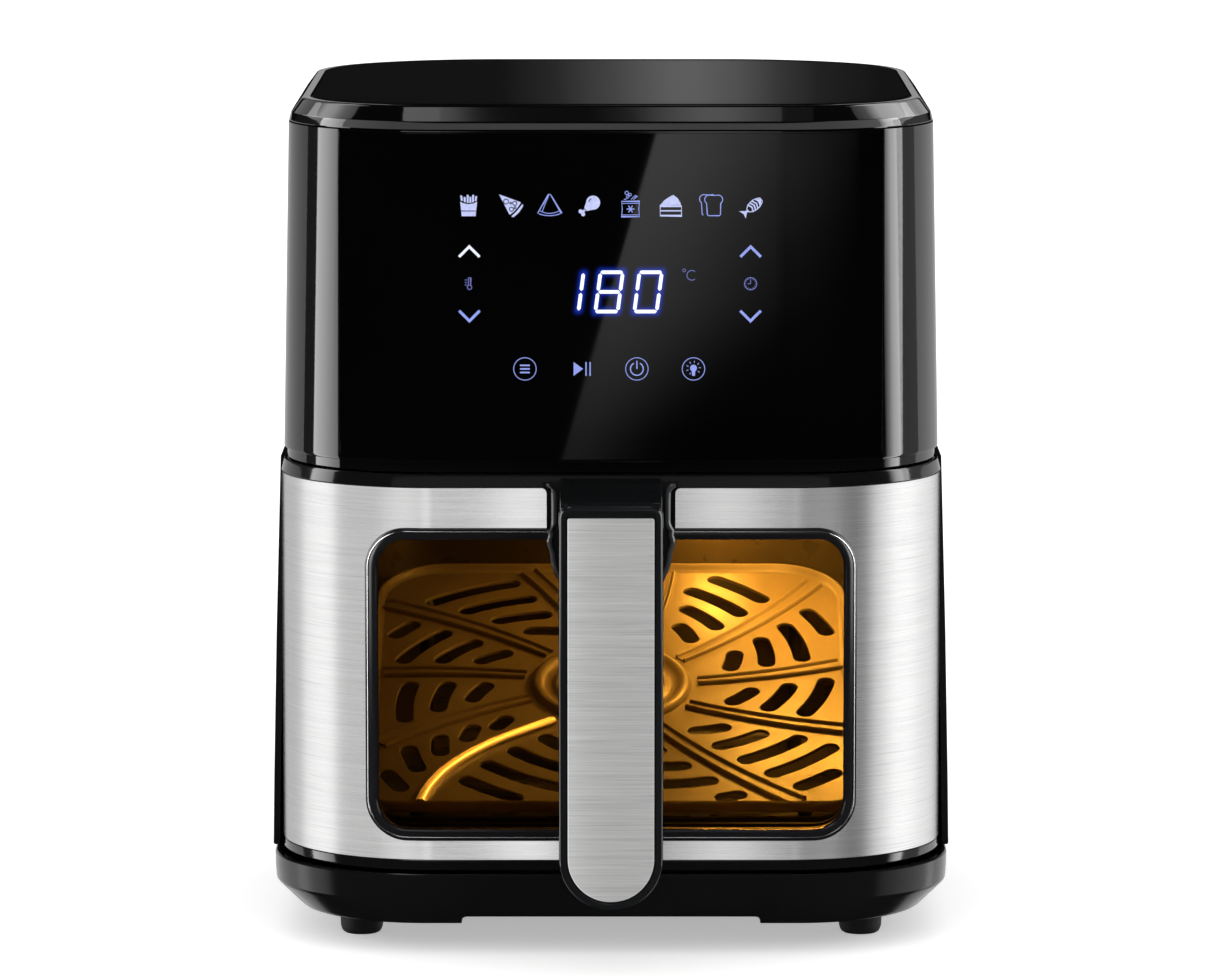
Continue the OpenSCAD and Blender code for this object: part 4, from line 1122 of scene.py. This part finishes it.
def rib_turn(sector, r):
    """The angle of a rib at a radius: the ribs sweep round as they run outwards."""
    if sector % SECTORS == LONG_RIB:
        return 225.8 + (0.0055 if r < 75 else 0.0026) * (r - 75) ** 2
    return 5 + 360 / SECTORS * sector + (r - 45) * 0.105


def inside_plate(x, v, margin):
    """Whether a point lies inside the plate's outline by a margin."""
    w, half = PLATE_HW - margin, PLATE_L / 2 - margin
    r = PLATE_BACK_R if v > 0 else PLATE_FRONT_R
    if abs(x) > w or abs(v) > half:
        return False
    cx, cv = max(abs(x) - (w - r), 0), max(abs(v) - (half - r), 0)
    return math.hypot(cx, cv) <= r or cx == 0 or cv == 0


def slot_outline(sector, r, half_w):
    """A bowed slot with round ends between two ribs, or None where the plate leaves no room for it."""
    lean, room, steps = 6.0, 11.0 / r * 57.3, 24
    a0, a1 = rib_turn(sector, r) + room, rib_turn(sector + 1, r) - room
    centre = [polar(r + lean * (i / steps - 0.5), a0 + (a1 - a0) * i / steps) for i in range(steps + 1)]
    centre = [place for place in centre if inside_plate(*place, 5.5 + half_w)]
    if len(centre) < 5:
        return None
    centre = centre[::4] if (len(centre) - 1) % 4 == 0 else centre[::4] + [centre[-1]]
    left, right = [], []
    for i, (x, v) in enumerate(centre):
        along = heading(centre[max(i - 1, 0)], centre[min(i + 1, len(centre) - 1)])
        left.append((x - along.y * half_w, v + along.x * half_w))
        right.append((x + along.y * half_w, v - along.x * half_w))

    def cap(middle, from_point):
        start = math.degrees(math.atan2(from_point[1] - middle[1], from_point[0] - middle[0]))
        return arc(*middle, half_w, start, start - 180, 6)[1:-1]

    return left + cap(centre[-1], left[-1]) + list(reversed(right)) + cap(centre[0], right[0])


def sheet_with_holes(outline, holes, low, high):
    """The plate's flat sheet as points and faces; the curve's own bevel rounds the holes' edges."""
    curve = bpy.data.curves.new("sheet", "CURVE")
    curve.dimensions = "2D"
    curve.fill_mode = "BOTH"
    soft = 0.35
    curve.extrude = (high - low) / 2 - soft
    curve.bevel_depth = soft
    curve.bevel_resolution = 2
    curve.offset = -soft
    for loop in [outline] + holes:
        spline = curve.splines.new("POLY")
        spline.points.add(len(loop) - 1)
        for point, (x, v) in zip(spline.points, loop):
            point.co = (x, v, 0, 1)
        spline.use_cyclic_u = True
    holder = bpy.data.objects.new("sheet", curve)
    bpy.context.scene.collection.objects.link(holder)
    bpy.context.view_layer.update()
    mesh = bpy.data.meshes.new_from_object(holder.evaluated_get(bpy.context.evaluated_depsgraph_get()))
    points = [sloped(p.co.x, p.co.y, (low + high) / 2 + p.co.z) for p in mesh.vertices]
    faces = [tuple(f.vertices) for f in mesh.polygons]
    bpy.data.objects.remove(holder)
    bpy.data.curves.remove(curve)
    return points, faces


def rib(sector, base):
    """A pressed rib: a double ridge, or a plain narrow one for the long rib at the front left."""
    long_one = sector == LONG_RIB
    section = RIDGE if long_one else CHANNEL
    rows = []
    for i in range(60):
        r = RING_R + (8 if long_one else 5) + 1.9 * i
        x, v = polar(r, rib_turn(sector, r))
        if not inside_plate(x, v, 4.0):
            break
        along = heading((x, v), polar(r + 0.5, rib_turn(sector, r + 0.5)))
        wide = 0.5 if long_one else 0.62 + 0.0042 * (r - RING_R)
        rows.append([sloped(x - along.y * u * wide, v + along.x * u * wide, base + h) for u, h in section])
    return lattice(rows)


def crisper_plate():
    """The slotted tray with its raised lip, the rings round its hub, its ribs and its legs."""
    corners = rounded(PLATE_HW, -PLATE_L / 2, PLATE_L / 2, PLATE_FRONT_R, PLATE_BACK_R, 10)
    hub = arc(0, 0, HUB_R, 0, -350, 35)
    slots = [slot_outline(k, 55 + 15.5 * j, 3.7) for k in range(SECTORS) for j in range(6)]
    sheet = sheet_with_holes(corners, [hub] + [s for s in slots if s], 0, PLATE_T)
    top = PLATE_T - 0.05
    ribs = [rib(k, top) for k in range(SECTORS)]
    long_rib = ribs.pop(LONG_RIB)
    dish = [(HUB_R + 0.2, 0), (HUB_R + 0.2, 1.0), (HUB_R + 0.9, 1.7), (HUB_R + 1.8, 1.8), (HUB_R + 2.7, 1.2),
            (HUB_R + 4, 0.5), (20, 0.5), (21, 1.3), (22, 1.9), (23, 1.6), (24, 0.8), (25, 0.4),
            (RING_R - 4.2, 0.5), (RING_R - 3, 1.5), (RING_R - 1.8, 2.5), (RING_R - 0.4, 2.9),
            (RING_R + 1, 2.3), (RING_R + 2, 1.0), (RING_R + 2.4, 0)]
    rings = [[sloped(*polar(r, 4 * i), top + h) for r, h in dish] for i in range(90)]
    rim = []
    for inset, h in ((0.1, 0), (0.15, 2.0), (0.6, 2.9), (1.3, 3.1), (2.0, 2.6), (2.5, 1.4), (3.4, 0.4),
                     (4.2, 0)):
        edge = rounded(PLATE_HW - inset, -PLATE_L / 2 + inset, PLATE_L / 2 - inset, PLATE_FRONT_R - inset,
                       PLATE_BACK_R - inset, 10)
        rim.append([sloped(x, v, top + h) for x, v in edge])
    for name, shapes, nodes in (("crisper_tray", [sheet, lattice(rim, wrap_rows=True)], ["crisper_plate"]),
                                ("crisper_ring", [lattice(rings, wrap_rows=True)], []),
                                ("crisper_ribs", ribs, []), ("crisper_rib_front_left", [long_rib], [])):
        piece(name, "crisper", PLATE_COAT, shapes, nodes, "plate_coated", angle=48)
    low = span("plate_legs")[0].z
    legs = []
    for x in (-78, 78):
        for along in (14, 172):
            height = PLATE_Z0 + (along - 3) * math.tan(PLATE_SLOPE) - 0.1 - low
            leg = [(0, 0), (2.3, 0), (2.8, 0.3), (3.0, 0.9), (3.0, height - 3), (2.6, height), (0, height)]
            legs.append(revolve(leg, (x, PLATE_Y0 + along, low), "z", 24))
    piece("tray_feet", "crisper", SILICONE, legs, ["plate_legs"], "silicone_dark")


# ---------- rear ----------

def rear():
    """The vent cover with its slats, and the bush that the lead would pass through."""
    (_, y0, z0), (hw, y1, z1) = span("rear_vent_cover")
    profile = [(0.0, y0), (0.0, y1 - 1.2), (0.35, y1 - 0.35), (1.2, y1), (11.5, y1), (12.3, y1 - 0.3),
               (12.6, y1 - 1.0), (12.6, y0)]
    rows = []
    for i, y in profile:
        r = max(6 - i * 0.4, 1.2)
        rows.append([(x, y, z) for x, z in rounded(hw - i, z0 + i * 0.72, z1 - i * 0.72, r, r, 8)])
    slats = []
    for i in range(10):
        z = z0 + 9.0 + i * 8.35
        section = [(y0 + 0.2, z + 3.4), (y0 + 0.9, z + 3.9), (y1 - 0.5, z + 1.2), (y1 - 0.2, z + 0.4),
                   (y1 - 0.6, z - 0.1), (y0 + 0.3, z + 2.4)]
        slats.append(prism(section, -hw + 12.2, hw - 12.2, "x"))
    posts = [box((x - 1.4, y0 + 0.1, z0 + 9), (x + 1.4, y1 - 1.2, z1 - 9)) for x in (-14, 14)]
    spots = [(x, z) for x in REAR_SCREW_X for z in (z0 + 5, z1 - 5)]
    holes = [prism(arc(x, z, 3.3, 0, 345, 23), y1 - 2.0, y1 + 3) for x, z in spots]
    piece("rear_vent_frame", "housing", TEXTURED_BLACK, [lattice(rows, wrap_rows=True)],
          ["rear_vent_cover"], "housing_satin", cuts=holes)
    piece("rear_vent_louvres", "housing", TEXTURED_BLACK, slats + posts, [], "housing_satin", edge=0.25)
    bush = [(3.6, -11), (6.0, -11), (6.8, -10.4), (6.9, -9), (6.9, 0.2), (9.6, 0.2), (10, 0.6), (10, 2.0),
            (9.5, 2.8), (8.6, 3.2), (7.6, 3.4), (6.8, 3.9), (5.6, 4.0), (5.0, 3.6), (4.6, 2.6), (4.6, -3),
            (3.6, -3)]
    piece("cord_bush", "housing", RUBBER, [revolve(bush, (GLAND.x, BACK, GLAND.z), "y", closed=True)],
          ["cord_gland"], "rubber_black")


base()
feet()
lower_housing()
upper_housing()
touch_panel()
top_bezel()
top_lid()
marks()
drawer_front()
steel_front()
window()
handle_surround()
handle()
pan()
crisper_plate()
rear()


# ---------- camera ----------

CAMERA_AWAY = 2700
CAMERA_Z = 532
CAMERA_PITCH = 7.31

camera = bpy.data.objects.new("camera", bpy.data.cameras.new("camera"))
bpy.context.scene.collection.objects.link(camera)
camera.location = (0, (FRONT - CAMERA_AWAY) * MM, CAMERA_Z * MM)
camera.rotation_euler = (math.radians(90 - CAMERA_PITCH), 0, 0)
camera.data.lens = 205
camera.data.sensor_width = 36
camera.data.clip_end = 100
bpy.context.scene.camera = camera


# ---------- floor, sky and studio light ----------

def floor():
    """A white floor that glows a little and shows in no reflection."""
    made, tree = new_material("floor")
    matt = node(tree, "ShaderNodeBsdfDiffuse", {"Color": (0.9, 0.9, 0.9, 1)})
    glow = node(tree, "ShaderNodeEmission", {"Color": (1, 1, 1, 1), "Strength": 0.42})
    show(tree, node(tree, "ShaderNodeAddShader", {0: matt.outputs[0], 1: glow.outputs[0]}))
    obj = new_object("floor", [])
    half = 30
    corners = [(-half, -half, 0), (half, -half, 0), (half, half, 0), (-half, half, 0)]
    obj.data.from_pydata(corners, [], [(0, 1, 2, 3)])
    obj.data.materials.append(made)
    obj.visible_glossy = False


def sky():
    """White behind the object, even ambient light on it, and near-dark in its reflections."""
    world = bpy.data.worlds.new("studio")
    world.use_nodes = True
    tree = world.node_tree
    tree.nodes.clear()
    path = node(tree, "ShaderNodeLightPath")
    seen = calc(tree, "MAXIMUM", path.outputs["Is Camera Ray"], path.outputs["Is Diffuse Ray"])
    strength = remap(tree, seen, 0.006, 1.08, 0.0, 1.0)
    light = node(tree, "ShaderNodeBackground", {"Color": (1, 1, 1, 1), "Strength": strength})
    node(tree, "ShaderNodeOutputWorld", {"Surface": light.outputs[0]})
    bpy.context.scene.world = world


def card(name, corners, brightness, receivers=None, spared=()):
    """A softbox that only shows in reflections, and that rays pass through.

    brightness(tree, x, y, z) gives its glow at a place in metres. It glows on the receivers alone, or on
    everything but the spared pieces.
    """
    made, tree = new_material(name)
    axes = node(tree, "ShaderNodeSeparateXYZ", {"Vector": node(tree, "ShaderNodeTexCoord").outputs["Object"]})
    glow = brightness(tree, *[axes.outputs[k] for k in "XYZ"])
    light = node(tree, "ShaderNodeEmission", {"Color": (1, 1, 1, 1), "Strength": glow})
    clear = node(tree, "ShaderNodeBsdfTransparent", {"Color": (1, 1, 1, 1)})
    show(tree, node(tree, "ShaderNodeAddShader", {0: light.outputs[0], 1: clear.outputs[0]}))
    obj = new_object(name, [])
    if isinstance(corners[0], list):
        points = [point for row in corners for point in row]
        wide = len(corners[0])
        faces = [(i * wide + j, i * wide + j + 1, i * wide + j + wide + 1, i * wide + j + wide)
                 for i in range(len(corners) - 1) for j in range(wide - 1)]
        obj.data.from_pydata(points, [], faces)
    else:
        obj.data.from_pydata(corners, [], [tuple(range(len(corners)))])
    obj.data.materials.append(made)
    obj.visible_camera = False
    obj.visible_diffuse = False
    obj.visible_shadow = False
    obj.visible_transmission = False
    if receivers or spared:
        lit_ones = bpy.data.collections.new(name + "_lights")
        for other in list(bpy.data.objects):
            if other.type == "MESH" and (other.name in receivers if receivers else other.name not in spared):
                lit_ones.objects.link(other)
        obj.light_linking.receiver_collection = lit_ones
    return obj


def ramp(axis, stops):
    """A glow that follows stops of (place in metres, strength) along one axis."""
    low, high = stops[0][0], stops[-1][0]
    top = max(s for p, s in stops)

    def glow(tree, x, y, z):
        place = remap(tree, {"x": x, "y": y, "z": z}[axis], 0, 1, low, high)
        made = node(tree, "ShaderNodeValToRGB", {"Fac": place})
        points = made.color_ramp.elements
        while len(points) < len(stops):
            points.new(0.5)
        for element, (p, s) in zip(points, stops):
            element.position = (p - low) / (high - low)
            element.color = (s / top, s / top, s / top, 1)
        return remap(tree, made.outputs["Color"], 0, top, 0, 1)

    return glow


def upright_card(x, y0, y1, z0, z1):
    """Corners of a card that stands to one side and faces the object."""
    return [(x, y0, z0), (x, y1, z0), (x, y1, z1), (x, y0, z1)]


def front_card(y, x0, x1, z0, z1):
    """Corners of a card in front of the object or behind it."""
    return [(x0, y, z0), (x1, y, z0), (x1, y, z1), (x0, y, z1)]


def wrapped(radius, low, high, z0, z1, steps=60):
    """Rows of an upright card bent round the object, between two turns in degrees from straight in front."""
    turns = [math.radians(low + (high - low) * i / steps) for i in range(steps + 1)]
    return [[(radius * math.sin(a), -radius * math.cos(a), z) for a in turns] for z in (z0, z1)]


def by_turn(stops):
    """A glow that follows stops of (degrees from straight in front, strength)."""
    inner = ramp("x", stops)

    def glow(tree, x, y, z):
        turn = calc(tree, "ARCTAN2", x, calc(tree, "MULTIPLY", y, -1.0))
        return inner(tree, remap(tree, turn, -180, 180, -math.pi, math.pi), y, z)

    return glow


def sheen(tree, x, y, z):
    """A glow with a sharp slanting left edge; to the right it fades faster the lower it is."""
    edge = remap(tree, z, -0.0269, 0.0234, 0.0906, 0.2657)
    past = calc(tree, "SUBTRACT", x, edge)
    wide = ramp("z", [(0.085, 0.028), (0.108, 0.03), (0.179, 0.062), (0.28, 0.067)])(tree, x, y, z)
    share = calc(tree, "DIVIDE", past, wide)
    fade = calc(tree, "POWER", math.e, calc(tree, "MULTIPLY", calc(tree, "MULTIPLY", share, share), -1.0))
    height = ramp("z", [(0.085, 0.2), (0.108, 0.25), (0.179, 0.72), (0.25, 1.06), (0.28, 1.1)])(tree, x, y, z)
    return calc(tree, "MULTIPLY", fade, height)


def lights():
    """The sky, the floor and every softbox, from the big side ones to the steel's own."""
    sky()
    side_x = 0.9
    sides = (("left", -1), ("right", 1))
    steel = ("steel_front", "handle_inlay")
    own_light = steel + ("base_moulding", "top_lid")
    card("left_softbox", upright_card(-side_x, -0.21, 0.13, -0.25, 0.75),
         ramp("y", [(-0.21, 3.0), (-0.05, 5.4), (0.13, 6.8)]), spared=own_light)
    card("left_fill", upright_card(-side_x, 0.13, 1.2, -0.25, 0.6),
         ramp("y", [(0.13, 0.12), (0.5, 0.04), (1.2, 0.01)]), spared=own_light)
    right = [(side_x, y, z) for y, z in ((-0.19, -0.25), (0.0, -0.25), (0.02, 0.1), (0.055, 0.18),
                                         (0.09, 0.25), (0.12, 0.35), (0.12, 0.75), (-0.19, 0.75))]
    card("right_softbox", right, ramp("y", [(-0.19, 0.6), (-0.1, 6.0), (0.0, 8.0), (0.12, 8.0)]),
         spared=own_light)
    card("right_fill", upright_card(side_x, 0.0, 1.4, -0.25, 0.6),
         ramp("y", [(0.0, 0.48), (0.6, 0.26), (1.4, 0.05)]), spared=own_light)
    card("left_base_light", upright_card(-side_x - 0.03, -0.3, 0.4, -0.4, 0.3),
         ramp("y", [(-0.3, 0.3), (-0.19, 0.8), (0.0, 1.0), (0.12, 1.7), (0.25, 1.6), (0.4, 0.4)]),
         ["base_moulding"])
    card("right_base_light", upright_card(side_x + 0.03, -0.5, 0.6, -0.4, 0.3),
         ramp("y", [(-0.5, 0.2), (-0.3, 0.45), (-0.08, 0.7), (0.33, 0.95), (0.6, 0.5)]), ["base_moulding"])
    slant = [(-0.0285, -0.923, 0.085), (0.3, -0.923, 0.085), (0.3, -0.923, 0.28), (0.0275, -0.923, 0.28)]
    card("front_sheen", slant, sheen, spared=steel)
    tail_z = ramp("z", [(0.05, 0.0), (0.14, 0.0), (0.167, 0.09), (0.207, 0.38), (0.25, 1.0), (0.4, 1.0)])
    tail_x = ramp("x", [(0.06, 0.0), (0.085, 0.03), (0.1, 0.14), (0.12, 0.22), (0.16, 0.3), (0.434, 0.21),
                        (0.77, 0.135), (1.37, 0.08), (1.7, 0.0)])

    def tail(tree, x, y, z):
        return calc(tree, "MULTIPLY", tail_x(tree, x, y, z), tail_z(tree, x, y, z))

    card("sheen_tail", front_card(-0.926, 0.06, 1.7, 0.05, 0.4), tail, spared=steel)
    card("brow_light", front_card(-0.93, -0.6, 0.6, 0.29, 0.5), ramp("z", [(0.29, 0.18), (0.5, 0.22)]),
         spared=steel)
    card("cap_light", wrapped(1.0, -130, 130, 0.54, 0.86),
         by_turn([(-180, 1.5), (-80, 1.7), (-40, 1.1), (40, 1.1), (80, 1.7), (180, 1.5)]), ["top_bezel"])
    card("top_sheen", front_card(1.0, -0.3, 0.3, 0.38, 0.75),
         ramp("x", [(-0.3, 0.003), (-0.06, 0.004), (-0.03, 0.025), (0.002, 0.08), (0.034, 0.156),
                    (0.047, 0.156), (0.07, 0.113), (0.093, 0.047), (0.115, 0.016), (0.15, 0.004),
                    (0.3, 0.003)]), spared=steel)
    for label, side in sides:
        card(label + "_rim_light", front_card(1.02, side * 0.125, side * 0.4, 0.38, 0.75),
             lambda tree, x, y, z: 0.42, ["top_bezel"])
    over = [(-0.5, -0.75, 1.25), (0.4, -0.75, 1.25), (0.4, -0.3, 1.25), (-0.44, -0.3, 1.25)]
    card("over_front", over, ramp("x", [
        (-0.5, 2.2), (-0.4, 2.2), (-0.12, 2.1), (-0.088, 1.6), (-0.072, 0.15), (-0.055, 0.05), (-0.01, 0.03),
        (0.0135, 0.3), (0.025, 1.0), (0.0485, 1.9), (0.06, 1.9), (0.0835, 0.95), (0.107, 0.2), (0.13, 0.12),
        (0.4, 0.1)]), spared=steel)
    card("left_brow_light", upright_card(-side_x - 0.02, 0.0, 2.0, 0.6, 1.6),
         ramp("y", [(0.0, 1.0), (0.15, 1.7), (0.3, 3.5), (0.45, 3.3), (0.6, 1.2), (0.8, 0.5), (2.0, 0.4)]),
         ["top_bezel"])
    card("right_brow_light", upright_card(side_x + 0.02, -0.16, 2.2, 0.6, 1.65),
         ramp("y", [(-0.16, 0.6), (0.0, 1.2), (0.16, 5.2), (0.487, 5.0), (0.7, 2.5), (1.06, 1.2),
                    (2.2, 0.8)]),
         ["top_bezel"])
    edged = ["handle_front_half", "handle_surround", "handle_surround_ridges", "window_bezel",
             "window_bezel_bead"]
    for label, side in sides:
        card(label + "_edge_light", wrapped(0.97, side * 46, side * 72, 0.0, 0.7, 12),
             ramp("z", [(0.0, 1.5), (0.09, 6.5), (0.7, 6.5)]), edged)
    for label, side in sides:
        outer, inner = (side * 1.5, 0.7), (side * 0.35, 1.5)
        card(label + "_back_light", [(*outer, -1.1), (*inner, -1.1), (*inner, 0.33), (*outer, 0.33)],
             ramp("z", [(-1.1, 0.4), (-0.4, 0.9), (0.33, 0.5)]), spared=steel)
    card("steel_wrap", wrapped(1.05, -150, 150, -0.7, 0.9), by_turn([
        (-150, 0.6), (-125, 0.7), (-114, 0.85), (-106, 1.3), (-88, 1.48), (-79, 1.42), (-72, 0.86),
        (-45, 0.86), (-36, 1.04), (-30, 1.14), (-22, 1.16), (-16, 1.05), (-10, 0.8), (-7.8, 0.75),
        (-7.0, 0.0), (6.65, 0.0), (7.2, 0.5), (17, 0.46), (34, 0.5), (44, 0.34), (52, 0.27), (58, 0.35),
        (66, 0.9), (76, 1.25), (84, 1.55), (98, 1.55), (112, 1.28), (128, 1.1), (150, 0.5)]), steel)
    card("steel_near", front_card(-0.3, -0.106, 0.106, -0.5, 0.6), ramp("x", [
        (-0.106, 0.0), (-0.097, 0.66), (-0.088, 0.7), (-0.079, 0.82), (-0.071, 0.67), (-0.061, 0.58),
        (-0.053, 0.62), (-0.046, 1.3), (-0.027, 1.5), (-0.021, 0.66), (-0.012, 0.6),
        (-0.002, 0.56), (0.008, 0.64), (0.018, 0.64), (0.022, 0.55), (0.029, 0.58), (0.036, 0.85),
        (0.046, 1.25), (0.055, 1.05), (0.063, 0.72), (0.071, 0.34), (0.095, 0.34), (0.106, 0.0)]), steel)
    floor()


def warm_light(name, kind, place, energy, size):
    """A lamp with a warm colour."""
    data = bpy.data.lights.new(name, kind)
    data.energy = energy
    data.color = (1.0, 0.8, 0.5)
    if kind == "AREA":
        data.size = size
    else:
        data.shadow_soft_size = size
    obj = bpy.data.objects.new(name, data)
    bpy.context.scene.collection.objects.link(obj)
    obj.location = place
    return obj


def cavity_light():
    """The lamp under the heat shield, and its glow off the chamber above the pan."""
    warm_light("lamp_glow", "AREA", (0.078, 0.045, 0.168), 0.55, 0.05)
    warm_light("chamber_glow", "AREA", (-0.03, 0.04, 0.182), 0.02, 0.08)
    warm_light("edge_glow", "AREA", (0.045, 0.12, 0.148), 0.1, 0.02)
    rib = warm_light("rib_glow", "POINT", (-0.03, -0.02, 0.15), 4.5, 0.01)
    only = bpy.data.collections.new("rib_glow_lights")
    only.objects.link(bpy.data.objects["crisper_rib_front_left"])
    rib.light_linking.receiver_collection = only


lights()
cavity_light()
bpy.context.scene.view_settings.view_transform = "Standard"
bpy.context.scene.view_settings.look = "None"
